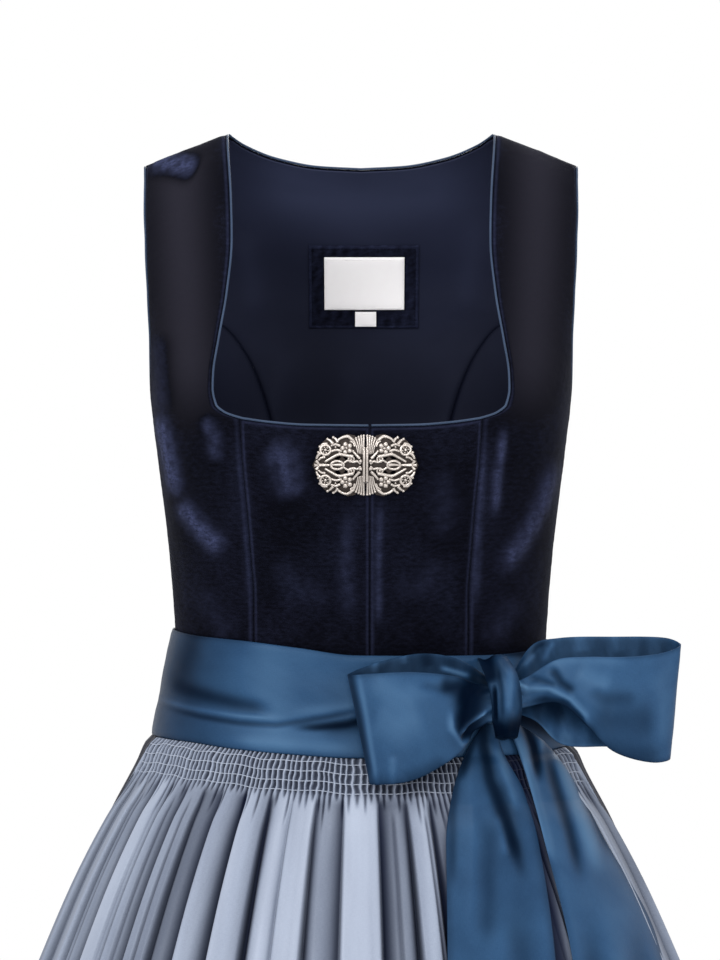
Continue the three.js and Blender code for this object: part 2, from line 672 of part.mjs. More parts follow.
// A smooth strip of cloth through stations that each give its two edges
function ribbon(stations, rows, columns) {
  const spline = (pick) => new THREE.CatmullRomCurve3(stations.map(pick), false, 'centripetal');
  const upper = spline((s) => new THREE.Vector3(s.topX, s.topY, s.topZ));
  const lower = spline((s) => new THREE.Vector3(s.lowX, s.lowY, s.lowZ));
  const middle = new THREE.SplineCurve(stations.map((s, k) => new THREE.Vector2(k, s.bulge)));
  const grid = evenly(rows).map((t) => {
    const from = upper.getPoint(t);
    const to = lower.getPoint(t);
    const bulge = middle.getPoint(t).y;
    return evenly(columns).map((w) => {
      const point = from.clone().lerp(to, w);
      point.y -= bulge * Math.sin(Math.PI * w);
      return point;
    });
  });
  return wallGeometry(grid, offsetGrid(grid, SATIN));
}

// The front of what lies under a tail: the apron's crests, or the skirt's past the apron's edge
function frontDepth(x, z) {
  const level = z - (sunkHeight(TAIL_ANGLE, z) - z);
  const gather = lookUp(SKIRT, 'level', 'gather', level);
  const fold = lookUp(APRON_FALLS, 'level', 'fold', level);
  const proud = gather * GATHER_UNDER_APRON + APRON_CLEARANCE + TAFFETA + Math.max(2 * fold, PUFF_ROW);
  const side = lookUp(SKIRT, 'level', 'side', level) + proud;
  const depth = lookUp(SKIRT, 'level', 'front', level) + proud;
  return -depth * (1 - Math.min(Math.abs(x) / side, 1) ** SKIRT_SQUARE) ** (1 / SKIRT_SQUARE);
}

function tail(stations) {
  const grid = stations.map(({ z, inner, outer, off }) => evenly(6).map((w) => {
    const x = mix(inner, outer, w);
    const crease = TAIL_CREASE_HEIGHT * (1 - Math.cos(TAIL_CREASES * 2 * Math.PI * w));
    return new THREE.Vector3(x, frontDepth(x, z) - off - SATIN - crease, z);
  }));
  const back = grid.map((row) => row.map((point) => point.clone().add(new THREE.Vector3(0, SATIN, 0))));
  return wallGeometry(grid, back);
}

// The clasp's half: a lobed openwork plate, bent to the front of the bodice
function claspHalf(hand) {
  const upper = CLASP_OUTLINE.map(({ out, up }) => new THREE.Vector2(hand * (out + CLASP_SPLIT), up));
  const lower = upper.slice(0, -1).reverse().map((point) => new THREE.Vector2(point.x, -point.y));
  const shape = new THREE.Shape([...upper, ...lower]);
  const ends = [1, -1];
  for (const { out, up, halfOut, halfUp } of CLASP_OPENINGS) {
    for (const end of ends) {
      const hole = new THREE.Path();
      hole.absellipse(hand * out, end * up, halfOut, halfUp, 0, 2 * Math.PI);
      shape.holes.push(new THREE.Path(hole.getPoints(2).slice(0, -1)));
    }
  }
  const solid = { depth: CLASP_THICKNESS, bevelEnabled: false, curveSegments: 1 };
  const plate = new THREE.ExtrudeGeometry(shape, solid);
  return bentToFront(plate);
}

// Lays a plate drawn flat, with its depth along Z, on the bodice front round the clasp's middle
function bentToFront(geometry) {
  const position = geometry.getAttribute('position');
  for (let k = 0; k < position.count; k += 1) {
    const x = CLASP_CENTRE_X + position.getX(k);
    const z = CLASP_CENTRE_Z + position.getY(k);
    const face = bodyPoint(angleOf(x, z), z, 1).y;
    position.setXYZ(k, x, face - SEAM_GAP - CLASP_STAND_OFF - position.getZ(k), z);
  }
  geometry.computeVertexNormals();
  return geometry;
}

const velvet = new THREE.MeshStandardMaterial({ color: 0x14172b, roughness: 0.75, metalness: 0 });
const sateen = new THREE.MeshStandardMaterial({ color: 0x1b2036, roughness: 0.6, metalness: 0 });
const satin = new THREE.MeshStandardMaterial({ color: 0x2c4a6b, roughness: 0.4, metalness: 0 });
const pipingSatin = new THREE.MeshStandardMaterial({ color: 0x3d506e, roughness: 0.45, metalness: 0 });
const apronTaffeta = new THREE.MeshStandardMaterial({ color: 0x7d8aa3, roughness: 0.45, metalness: 0 });
const skirtTaffeta = new THREE.MeshStandardMaterial({ color: 0x23252f, roughness: 0.55, metalness: 0 });
const silver = new THREE.MeshStandardMaterial({ color: 0xbdb4b0, roughness: 0.35, metalness: 1 });
const labelCloth = new THREE.MeshStandardMaterial({ color: 0xf0f0f2, roughness: 0.8, metalness: 0 });

const dirndl = new THREE.Group();

function add(name, geometry, material) {
  const mesh = new THREE.Mesh(geometry, material);
  mesh.name = name;
  dirndl.add(mesh);
}

const hands = [{ side: 'left', hand: 1 }, { side: 'right', hand: -1 }];
for (const { side, hand } of hands) {
  add(`front_centre_${side}`, frontCentre(hand), velvet);
  add(`front_side_${side}`, frontSide(hand), velvet);
  add(`back_side_${side}`, backSide(hand, 0, VELVET), velvet);
  add(`lining_side_${side}`, backSide(hand, VELVET + SEAM_GAP, LINING), sateen);
  add(`neck_piping_front_${side}`, piping(frontNeckPath(hand), false), pipingSatin);
  add(`armhole_piping_${side}`, piping(armholePath(hand), true), pipingSatin);
  add(`clasp_${side}`, claspHalf(hand), silver);
}
add('back_centre', backCentre(BACK_ROWS, 0, VELVET), velvet);
add('lining_centre', backCentre(BACK_ROWS.slice(0, -1), VELVET + SEAM_GAP, LINING), sateen);
add('neck_piping_back', piping(backNeckPath(), false), pipingSatin);
add('label_patch', onLining(PATCH), velvet);
add('label', onLining(LABEL), labelCloth);
add('size_tag', onLining(TAG), labelCloth);

add('skirt_front', skirtWidth(1), skirtTaffeta);
add('skirt_back', skirtWidth(-1), skirtTaffeta);
add('apron', apron(), apronTaffeta);
add('waistband_front', bandStretch(-BAND_FRONT_ANGLE, BAND_FRONT_ANGLE, 30), satin);
add('tie_round_back', bandStretch(BAND_FRONT_ANGLE + 0.3, 360 - BAND_FRONT_ANGLE - 0.3, 24), satin);
add('bow_loop_right', ribbon(LOOP_RIGHT_HAND, 20, 5), satin);
add('bow_loop_left', ribbon(LOOP_LEFT_HAND, 22, 5), satin);
add('bow_knot', ribbon(KNOT, 8, 4), satin);
add('bow_tail_right', tail(TAIL_RIGHT_HAND), satin);
add('bow_tail_left', tail(TAIL_LEFT_HAND), satin);

export default dirndl;
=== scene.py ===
"""A dirndl, filled out with no wearer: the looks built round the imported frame.

Sizes and tables are in millimetres in the part's own frame: +Z up, the front faces -Y and the
wearer's left is at +X. Meshes are turned into metres as they are made.
"""

import math

import bpy
import numpy as np
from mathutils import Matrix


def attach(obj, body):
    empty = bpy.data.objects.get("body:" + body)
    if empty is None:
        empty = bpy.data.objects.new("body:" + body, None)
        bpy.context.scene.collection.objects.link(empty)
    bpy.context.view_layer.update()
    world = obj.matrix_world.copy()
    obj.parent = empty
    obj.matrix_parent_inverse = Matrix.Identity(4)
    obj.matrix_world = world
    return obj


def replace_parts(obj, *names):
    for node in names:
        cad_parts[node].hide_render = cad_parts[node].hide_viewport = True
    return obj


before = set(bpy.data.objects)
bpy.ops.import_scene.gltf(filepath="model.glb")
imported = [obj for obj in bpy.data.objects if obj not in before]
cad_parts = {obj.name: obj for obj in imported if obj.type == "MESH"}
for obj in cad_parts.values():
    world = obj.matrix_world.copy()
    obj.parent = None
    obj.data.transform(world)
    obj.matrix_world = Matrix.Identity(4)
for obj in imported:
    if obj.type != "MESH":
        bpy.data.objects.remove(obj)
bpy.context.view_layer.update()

MM = 0.001
TINY = 1e-9


def table(columns, *rows):
    """A table with named columns, sorted by its first column, which look() reads it by."""
    values = np.array(sorted(rows), float)
    made = {name: values[:, k] for k, name in enumerate(columns.split())}
    made["key"] = values[:, 0]
    return made


def look(source, column, at):
    """Monotone cubic interpolation of a column of a table."""
    xs, ys = source["key"], source[column]
    at = np.clip(np.asarray(at, float), xs[0], xs[-1])
    k = np.clip(np.searchsorted(xs, at, side="right") - 1, 0, len(xs) - 2)
    slope = np.diff(ys) / np.diff(xs)
    tangent = np.concatenate([slope[:1], np.zeros(len(xs) - 2), slope[-1:]])
    before, after = slope[:-1], slope[1:]
    total = np.where(before * after > 0, before + after, 1)
    tangent[1:-1] = np.where(before * after > 0, 2 * before * after / total, 0)
    span = xs[k + 1] - xs[k]
    t = (at - xs[k]) / span
    rise = t * t * (3 - 2 * t)
    bend = t * (1 - t) ** 2 * span * tangent[k] + t * t * (t - 1) * span * tangent[k + 1]
    return ys[k] + (ys[k + 1] - ys[k]) * rise + bend


def mix(a, b, t):
    """A value between a, where t is 0, and b, where t is 1."""
    return a + (b - a) * t


def smooth(low, high, at):
    """A smooth step from 0 at low to 1 at high."""
    t = np.clip((np.asarray(at, float) - low) / (high - low), 0, 1)
    return t * t * (3 - 2 * t)


def oval(side, depth, square, angle, z):
    """Points of a flattened oval: half width side, reach depth along Y, angle from the centre."""
    sine, cosine = np.sin(np.radians(angle)), np.cos(np.radians(angle))
    x = side * np.sign(sine) * np.abs(sine) ** (2 / square)
    y = -depth * np.sign(cosine) * np.abs(cosine) ** (2 / square)
    return np.stack(np.broadcast_arrays(x, y, z), -1).astype(float)


# The part's own sizes and tables
NECK_POINT = 95.5
SHOULDER_END_DROP = 0.4
UNDERARM = -195
BODICE_HEM = -385
SKIRT_HEM = -1090
APRON_HEM = -1065
VELVET = 1.6
LINING = 1.2
SATIN = 1.4
TAFFETA = 2.0
SEAM_GAP = 0.3
HALF_GAP = 0.18
CLOSURE_X = 6
SKIRT_PLEATS = 52
APRON_FOLDS = 24
APRON_EDGE_ANGLE = 70
BODY = table(
    "level side front back square",
    (0, 154.5, 0, 0, 4), (-2, 154.7, 11, 10, 4), (-6, 155, 20, 18, 4), (-12, 155.3, 30, 27, 3.9),
    (-22, 156, 43, 39, 3.75), (-40, 157, 60, 57, 3.5), (-70, 157.5, 78, 77, 3.1),
    (-110, 156.2, 97, 94, 2.8), (-150, 152.5, 112, 101, 2.6), (-195, 148, 123, 101, 2.5),
    (-228, 144, 127, 96, 2.45), (-260, 140, 122, 90, 2.4), (-300, 135.5, 108, 82, 2.35),
    (-345, 132, 94, 78, 2.3), (-385, 130, 86, 78, 2.25),
)
ARMHOLE = table(
    "level angle",
    (0, 78), (-12, 75), (-38, 71), (-65, 69), (-100, 69), (-135, 71.5), (-165, 77), (-183, 83),
    (-190, 86.5), (-195, 90),
)
NECK_EDGE = table(
    "level x",
    (0, 95.5), (-51, 91), (-82, 90), (-117, 93), (-150, 98.5), (-173, 102), (-183, 102.3),
    (-195, 99.8), (-200.6, 93.4), (-204.6, 82.5),
)
NECK_LOWER = table("x level", (0, -210), (38, -209.4), (62, -207.5), (82.5, -204.6))
NECK_CORNER, NECK_CORNER_X = -204.6, 82.5
FRONT_SEAM = table(
    "level x", (-204.6, 82.5), (-232, 81), (-265, 78), (-300, 75.5), (-325, 74), (-385, 74))
BACK_NECK = table(
    "fraction level", (0, -22), (0.2, -20.5), (0.4, -15), (0.55, -6.5), (0.62, 0))
BACK_NECK_REACH = -60
BACK_SEAM_TOP = -118
BACK_SEAM = table(
    "level x",
    (-118, 147.5), (-124, 122), (-132, 103), (-146, 90), (-165, 79), (-190, 70), (-240, 58),
    (-300, 49), (-385, 44),
)
BAND_TOP, BAND_LOW = -351, -425
SKIRT = table(
    "level side front back gather",
    (-385, 131.2, 87.5, 80, 1.0), (-410, 140.3, 94.5, 87.5, 1.4), (-424, 143.8, 98.5, 91.5, 1.6),
    (-431, 150, 103.5, 97, 2.4), (-445, 155.5, 111, 105, 3.2), (-481, 172.5, 130, 127, 5),
    (-560, 205, 166, 162, 7), (-680, 249, 213, 210, 9), (-820, 298, 268, 266, 11),
    (-960, 344, 322, 320, 13), (-1090, 386, 368, 366, 15),
)
SKIRT_SQUARE = 2.15
GATHER_UNDER_APRON = 0.35
BAND = table(
    "level side front back",
    (-351, 133.9, 94.5, 80.3), (-366, 137, 94, 82.5), (-380, 139.8, 95, 86),
    (-400, 143.6, 98, 91), (-425, 148.8, 104, 97),
)
BAND_SQUARE = 2.25
BAND_EDGES = table(
    "angle top low",
    (-180, -354, -428), (-90, -351, -425), (-52, -354.5, -426.5), (-35, -356.5, -429.7),
    (-16, -361, -433), (0, -366, -435.3), (36, -366.5, -435), (90, -360, -431),
    (180, -354, -428),
)
SINK_START, SINK_FULL, SINK_FADE, SINK_END = -385, -408, -481, -760
BAND_FRONT_ANGLE = 95
BAND_RELIEF = table("height relief", (0, 0), (0.22, 0.6), (0.36, -0.5), (0.62, 0.8), (1, 0))
APRON_FALLS = table(
    "level fold", (-425, 0), (-448, 0.3), (-473, 4), (-535, 7), (-685, 9), (-1065, 13))
APRON_CLEARANCE = 1.3
FOLD_STRAY, FOLD_STRAY_TURNS = 0.55, 5
PUFF = 2.4

# Bow strips: the two edges of each station, and how far its middle stands forward
LOOP_RIGHT_HAND = (
    (94, -106, -386, 94, -107.6, -406, 0.6), (82, -104, -384, 82, -109, -414, 4),
    (62, -115, -379, 64, -122, -432, 5), (34, -121, -376, 38, -129, -447, 4),
    (8, -120, -377, 18, -130, -451, 2), (-8, -113, -378, 7, -125, -451, 0),
    (-5, -108, -376, 12, -120.5, -449, 0), (15, -105, -369, 26, -119, -441, 0),
    (42, -104, -364, 46, -113, -430, 0), (66, -100, -368, 68, -105, -420, 0),
    (92, -78.4, -385, 92, -81.4, -407, 0),
)
LOOP_LEFT_HAND = (
    (99.5, -109, -385, 99.5, -110.8, -405, 1.6), (112, -98, -381, 113, -99, -401, 2),
    (133, -102, -368.5, 134, -106, -398, 3), (152, -104, -366.5, 152, -111, -412, 4),
    (175, -104, -366.5, 171, -114, -430, 4), (205, -98, -364, 199, -109, -438, 2),
    (219, -90, -359, 211, -100, -436, 0), (212, -80, -355, 206, -92, -432, 0),
    (172, -72, -354, 172, -86, -429, -3), (136, -72, -355, 137, -86, -427, -2),
    (119, -74, -359, 119, -84, -411, 0), (101, -72, -385, 101, -74.6, -405, 0),
)
KNOT = (
    (80, -81, -369, 93, -75.1, -369, 0.6), (81, -97, -371, 99, -95, -366, 3),
    (85.5, -107, -383, 106.5, -105, -379, 3), (88.5, -111, -397, 109, -109, -396, 3),
    (89, -110, -409, 108.5, -107, -410, 3), (91, -103, -419, 107, -99, -420, 2),
    (92, -88.6, -423, 106, -81, -423, 1),
)
TAIL_RIGHT_HAND = table(
    "z inner outer off",
    (-413, 84, 92, 1.9), (-431, 72, 97, 1.6), (-458, 62, 111, 0.5), (-490, 57, 120, 0.4),
    (-560, 57, 129, 0.4), (-660, 62, 134, 0.4), (-775, 66, 138, 0.4),
)
TAIL_LEFT_HAND = table(
    "z inner outer off",
    (-413, 99, 107, 2.8), (-428, 106, 128, 4), (-455, 115, 148, 2.6), (-490, 124, 166, 2),
    (-560, 140, 203, 1.4), (-660, 152, 222, 1.4), (-790, 163, 234, 1.4),
)
TAIL_ANGLE = 45
CLASP_CENTRE_X, CLASP_CENTRE_Z = 3, -236
PATCH = {"x": 2, "level": -103, "width": 81, "height": 61, "depth": 0}
LABEL = {"x": 2.5, "level": -100, "width": 59, "height": 39, "depth": 1}
TAG = {"x": 3.5, "level": -126.5, "width": 15.5, "height": 11, "depth": 1}
LABEL_CLOTH = 1.0
LABEL_STAND_OFF = 0.7


# Surfaces shared with the part
def body_point(angle, level, facing):
    """The bodice's outer face. facing is 1 on the front and -1 on the back."""
    depth = look(BODY, "front" if facing > 0 else "back", level)
    point = oval(look(BODY, "side", level), depth, look(BODY, "square", level), angle, level)
    point[..., 1] = facing * np.minimum(point[..., 1], -SEAM_GAP / 2)
    slope = SHOULDER_END_DROP * smooth(-170, -10, level)
    point[..., 2] -= slope * np.maximum(0, np.abs(point[..., 0]) - NECK_POINT)
    return point


def angle_of(x, level):
    share = np.minimum(np.abs(x) / look(BODY, "side", level), 1)
    return np.sign(x) * np.degrees(np.arcsin(share ** (look(BODY, "square", level) / 2)))


def wrapped(angle):
    """Angles past the middle of the back, counted from the front again."""
    return np.where(angle > 180, angle - 360, angle)


def armhole_angle(level):
    return np.where(np.asarray(level) <= UNDERARM, 90, look(ARMHOLE, "angle", level))


def back_seam_x(level):
    armhole = np.abs(body_point(armhole_angle(level), level, -1)[..., 0])
    return np.where(np.asarray(level) < BACK_SEAM_TOP, look(BACK_SEAM, "x", level), armhole)


def back_place(column, level, half_gap=HALF_GAP):
    reach = np.maximum(0, (level - BACK_NECK_REACH) / -BACK_NECK_REACH)
    lowered = level + look(BACK_NECK, "level", np.abs(column)) * reach
    gap = np.where(level < BACK_SEAM_TOP, half_gap, 0)
    return angle_of(column * (back_seam_x(lowered) - gap), lowered), lowered


def band_edge(angle, column):
    return look(BAND_EDGES, column, angle)


def sunk_height(angle, level):
    share = smooth(-SINK_START, -SINK_FULL, -np.asarray(level, float))
    share = share * (1 - smooth(-SINK_FADE, -SINK_END, -np.asarray(level, float)))
    return level + (band_edge(angle, "low") - BAND_LOW) * share


def depth_of(source, angle, level):
    """How far an oval of a table reaches along Y, at the front or at the back."""
    return np.where(np.abs(angle) > 90, look(source, "back", level), look(source, "front", level))


def skirt_point(angle, level, out, wave):
    """The skirt's outer face, out mm off its ground, with a wave of its gathers."""
    side, depth = look(SKIRT, "side", level), depth_of(SKIRT, angle, level)
    reach = out + wave * look(SKIRT, "gather", level)
    return oval(side + reach, depth + reach, SKIRT_SQUARE, angle, sunk_height(angle, level))


def gather_share(angle):
    edge = smooth(APRON_EDGE_ANGLE - 8, APRON_EDGE_ANGLE + 6, np.abs(angle))
    return mix(GATHER_UNDER_APRON, 1, edge)


def band_point(angle, height, out):
    level = mix(BAND_LOW, BAND_TOP, height)
    depth = depth_of(BAND, angle, level)
    z = mix(band_edge(angle, "low"), band_edge(angle, "top"), height)
    return oval(look(BAND, "side", level) + out, depth + out, BAND_SQUARE, angle, z)


def apron_point(t, level, out):
    angle = mix(-APRON_EDGE_ANGLE, APRON_EDGE_ANGLE, t)
    rise = look(SKIRT, "gather", level) * gather_share(angle)
    return skirt_point(angle, level, rise + APRON_CLEARANCE + out, 0)


def front_depth(x, z):
    """The front of what lies under a tail."""
    level = z - (sunk_height(TAIL_ANGLE, z) - z)
    gather, fold = look(SKIRT, "gather", level), look(APRON_FALLS, "fold", level)
    proud = gather * GATHER_UNDER_APRON + APRON_CLEARANCE + TAFFETA + np.maximum(2 * fold, PUFF)
    side, depth = look(SKIRT, "side", level) + proud, look(SKIRT, "front", level) + proud
    share = np.minimum(np.abs(x) / side, 1) ** SKIRT_SQUARE
    return -depth * (1 - share) ** (1 / SKIRT_SQUARE)


# Mesh helpers
def runs(*spans):
    """Even steps over several spans, each given as its start, its end and how many."""
    return np.concatenate([np.linspace(*span) for span in spans])


def grid(rows, columns):
    """Row and column values as two arrays of one shape."""
    return np.meshgrid(np.asarray(rows, float), np.asarray(columns, float), indexing="ij")


def unit(vectors):
    return vectors / np.maximum(np.linalg.norm(vectors, axis=-1, keepdims=True), TINY)


def directions(path, closed):
    """Unit directions along a path, which may close on itself."""
    if closed:
        return unit(np.roll(path, -1, 0) - np.roll(path, 1, 0))
    return unit(np.gradient(path, axis=0))


def face_normals(points):
    return unit(np.cross(np.gradient(points, axis=0), np.gradient(points, axis=1)))


def normals(points, outward):
    """Unit normals of a grid of points, on the side that outward points to."""
    made = face_normals(points)
    return made * (1 if (made * outward).sum() > 0 else -1)


def away(points):
    """From the vertical axis outwards."""
    return points * (1, 1, 0)


def bell(gap, width):
    """1 where the gap is nothing, fading to 0 over a few widths."""
    return np.exp(-((gap / width) ** 2))


def at_ends(share, reach):
    """1 at both ends of a share from 0 to 1, fading inwards over reach."""
    return bell(share, reach) + bell(1 - share, reach)


def bridge(one, other):
    """Triangles that join two rows of point numbers."""
    faces, a, b = [], 0, 0
    while a < len(one) - 1 or b < len(other) - 1:
        step = (a + 1) / (len(one) - 1) <= (b + 1) / (len(other) - 1) + 1e-9
        if a < len(one) - 1 and (b == len(other) - 1 or step):
            faces.append((one[a], one[a + 1], other[b]))
            a += 1
        else:
            faces.append((other[b + 1], other[b], one[a]))
            b += 1
    return faces


def skin(numbers):
    """Four-sided faces over a grid of point numbers."""
    corners = (numbers[:-1, :-1], numbers[:-1, 1:], numbers[1:, 1:], numbers[1:, :-1])
    return np.stack(corners, -1).reshape(-1, 4).tolist()


def cloth_run(points):
    """How far along the cloth each point of a grid is, in two directions."""
    across = np.linalg.norm(np.diff(points, axis=1), axis=-1).mean(0)
    along = np.linalg.norm(np.diff(points, axis=0), axis=-1).mean(1)
    u = np.concatenate([[0], np.cumsum(across)])
    v = np.concatenate([[0], np.cumsum(along)])
    v, u = np.meshgrid(v, u, indexing="ij")
    return np.stack([u, v, 0 * u], -1)


def placed(name, data):
    """A new object in the scene."""
    made = bpy.data.objects.new(name, data)
    bpy.context.scene.collection.objects.link(made)
    return made


def build(name, points, faces, material, weave=None, shade=None):
    """A smooth mesh object from points in millimetres, which rides on the part."""
    mesh = bpy.data.meshes.new(name)
    mesh.from_pydata((np.asarray(points) * MM).tolist(), [], faces)
    mesh.update()
    mesh.polygons.foreach_set("use_smooth", [True] * len(mesh.polygons))
    count = len(mesh.vertices)
    run = np.zeros((count, 3)) if weave is None else weave
    tone = np.zeros(count) if shade is None else shade
    mesh.attributes.new("weave", "FLOAT_VECTOR", "POINT").data.foreach_set(
        "vector", np.asarray(run, np.float32).ravel())
    mesh.attributes.new("shade", "FLOAT", "POINT").data.foreach_set(
        "value", np.asarray(tone, np.float32).ravel())
    mesh.materials.append(material)
    made = placed(name, mesh)
    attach(made, "root")
    return made


def signed_volume(points, faces):
    """Six times the volume that the faces enclose, negative where they face inwards."""
    tops = np.array([face[:3] for face in faces])
    a, b, c = points[tops[:, 0]], points[tops[:, 1]], points[tops[:, 2]]
    total = (a * np.cross(b, c)).sum()
    fours = np.array([face for face in faces if len(face) == 4])
    if len(fours):
        a, b, c = points[fours[:, 0]], points[fours[:, 2]], points[fours[:, 3]]
        total += (a * np.cross(b, c)).sum()
    return total


def cloth(name, outer, inner, material, shade=None, lining=None):
    """A closed thin shell between two grids of points, which may differ in fineness. shade is the
    tone of its outer face and lining that of its inner face."""
    count = outer.shape[0] * outer.shape[1]
    a = np.arange(count).reshape(outer.shape[:2])
    b = count + np.arange(inner.shape[0] * inner.shape[1]).reshape(inner.shape[:2])
    faces = skin(a) + [face[::-1] for face in skin(b)]
    faces += [face[::-1] for face in bridge(a[0], b[0])] + bridge(a[-1], b[-1])
    faces += bridge(a[:, 0], b[:, 0]) + [face[::-1] for face in bridge(a[:, -1], b[:, -1])]
    faces = [tuple(int(k) for k in face) for face in faces]
    points = np.concatenate([outer.reshape(-1, 3), inner.reshape(-1, 3)])
    if signed_volume(points, faces) < 0:
        faces = [face[::-1] for face in faces]
    weave = np.concatenate([cloth_run(outer).reshape(-1, 3), cloth_run(inner).reshape(-1, 3)])
    tones = [np.zeros(grid_of.shape[:2]) if tone is None else tone
             for grid_of, tone in ((outer, shade), (inner, lining))]
    tone = np.concatenate([one.ravel() for one in tones])
    return build(name, points, faces, material, weave, tone)


def tube_parts(path, radius, sides, closed, up):
    """Points and faces of a round tube along a path. up is any direction the path never takes."""
    path = np.asarray(path, float)
    along = directions(path, closed)
    out = unit(np.cross(along, np.broadcast_to(up, along.shape)))
    face = np.cross(out, along)
    turn = np.arange(sides) / sides * 2 * math.pi
    size = np.broadcast_to(np.asarray(radius, float), (len(path),))[:, None, None]
    turn = turn[None, :, None]
    points = path[:, None] + size * (out[:, None] * np.cos(turn) + face[:, None] * np.sin(turn))
    numbers = np.arange(len(path) * sides).reshape(len(path), sides)
    numbers = np.concatenate([numbers, numbers[:, :1]], 1)
    if closed:
        numbers = np.concatenate([numbers, numbers[:1]], 0)
    faces = skin(numbers)
    if not closed:
        faces += [list(numbers[0, :-1][::-1]), list(numbers[-1, :-1])]
    return points.reshape(-1, 3), [[int(k) for k in f] for f in faces]


def joined(parts):
    """Several (points, faces) as one."""
    points, faces, start = [], [], 0
    for one, some in parts:
        points.append(one)
        faces += [[k + start for k in face] for face in some]
        start += len(one)
    return np.concatenate(points), faces


# Waves in the cloth, from sums of sines in seeded directions: the same at each run
def ripple(points, pitch, seed, octaves=4):
    """Soft uneven ripples between about -1 and 1."""
    source = np.random.default_rng(seed)
    total = np.zeros(points.shape[:-1])
    for octave in range(octaves):
        for _ in range(4):
            direction = source.normal(size=3)
            direction *= 2 * math.pi / (pitch * 0.55 ** octave * np.linalg.norm(direction))
            phase = source.uniform(0, 2 * math.pi)
            total += np.sin(points @ direction + phase) * 0.6 ** octave
    return total / 5


STROKE_FADE = 0.25


def stroke(points, path, width):
    """A soft stroke along a path of (x, z): 1 on it, fading to its sides and its ends."""
    path = np.asarray(path, float)
    flat = points[..., (0, 2)]
    lengths = np.linalg.norm(np.diff(path, axis=0), axis=1)
    total, done = lengths.sum(), 0.0
    best = np.full(points.shape[:-1], 1e9)
    place = np.zeros(points.shape[:-1])
    for k, length in enumerate(lengths):
        step = path[k + 1] - path[k]
        t = np.clip(((flat - path[k]) @ step) / length ** 2, 0, 1)
        gap = np.linalg.norm(flat - path[k] - t[..., None] * step, axis=-1)
        nearer = gap < best
        best = np.where(nearer, gap, best)
        place = np.where(nearer, (done + t * length) / total, place)
        done += length
    taper = smooth(0, STROKE_FADE, place) * smooth(0, STROKE_FADE, 1 - place)
    return bell(best, width) * taper


def soft(tone):
    """A tone kept between -1 and 1 with no hard step."""
    return np.tanh(1.15 * tone)


def strokes(points, rows):
    """Heights and tones of soft ridges and troughs, each a (path, width, height, tone)."""
    height, tone = np.zeros(points.shape[:-1]), np.zeros(points.shape[:-1])
    for path, width, rise, colour in rows:
        profile = stroke(points, path, width)
        height += rise * profile
        tone += colour * profile
    return height, tone


# Materials
def make(tree, kind, inputs=None, **settings):
    """A shader node. Each input is a value to set or a socket to link."""
    made = tree.nodes.new(kind)
    for key, value in settings.items():
        setattr(made, key, value)
    for key, value in (inputs or {}).items():
        if isinstance(value, bpy.types.NodeSocket):
            tree.links.new(value, made.inputs[key])
        else:
            made.inputs[key].default_value = value
    return made


def blend(tree, factor, dark, light):
    """A colour between two others. Sockets 6, 7 and 2 are the node's colour ones."""
    return make(tree, "ShaderNodeMix", {0: factor, 6: dark, 7: light}, data_type="RGBA").outputs[2]


def maths(tree, operation, *values):
    return make(tree, "ShaderNodeMath", dict(enumerate(values)), operation=operation).outputs[0]


def stretch(tree, vector, scale):
    return make(tree, "ShaderNodeMapping", {"Vector": vector, "Scale": scale}).outputs[0]


def noise(tree, vector, scale, detail=2.0, roughness=0.5):
    return make(tree, "ShaderNodeTexNoise", {
        "Vector": vector, "Scale": scale, "Detail": detail, "Roughness": roughness}).outputs[0]


def cloth_noise(tree, weave, scale, detail=2.0, roughness=0.5):
    """Noise along the cloth, at its own scale per millimetre in each direction."""
    return noise(tree, stretch(tree, weave, scale), 1.0, detail, roughness)


def emboss(tree, shader, height, strength, distance):
    """Fine relief of a shader's surface, distance in metres."""
    bump = make(tree, "ShaderNodeBump", {"Height": height, "Strength": strength,
                                         "Distance": distance})
    tree.links.new(bump.outputs[0], shader.inputs["Normal"])


def remap(tree, value, low, high, to_low=0.0, to_high=1.0):
    return make(tree, "ShaderNodeMapRange", {
        "Value": value, "From Min": low, "From Max": high,
        "To Min": to_low, "To Max": to_high}).outputs[0]


def rgba(colour):
    return (*colour, 1.0)


def started(name, **sockets):
    """A material with its Principled shader and the cloth's own coordinates and shade."""
    material = bpy.data.materials.new(name)
    material.use_nodes = True
    tree = material.node_tree
    shader = tree.nodes["Principled BSDF"]
    for key, value in sockets.items():
        shader.inputs[key.replace("_", " ")].default_value = value
    weave = make(tree, "ShaderNodeAttribute", attribute_name="weave").outputs["Vector"]
    shade = make(tree, "ShaderNodeAttribute", attribute_name="shade").outputs["Fac"]
    return material, tree, shader, weave, shade


THREAD_SHARE = 0.45
DEEP_GLOSS, SLANT_GLOSS = 0.01, 0.4
WEAVE_RELIEF, PILE_RELIEF = 0.0003, 0.0005


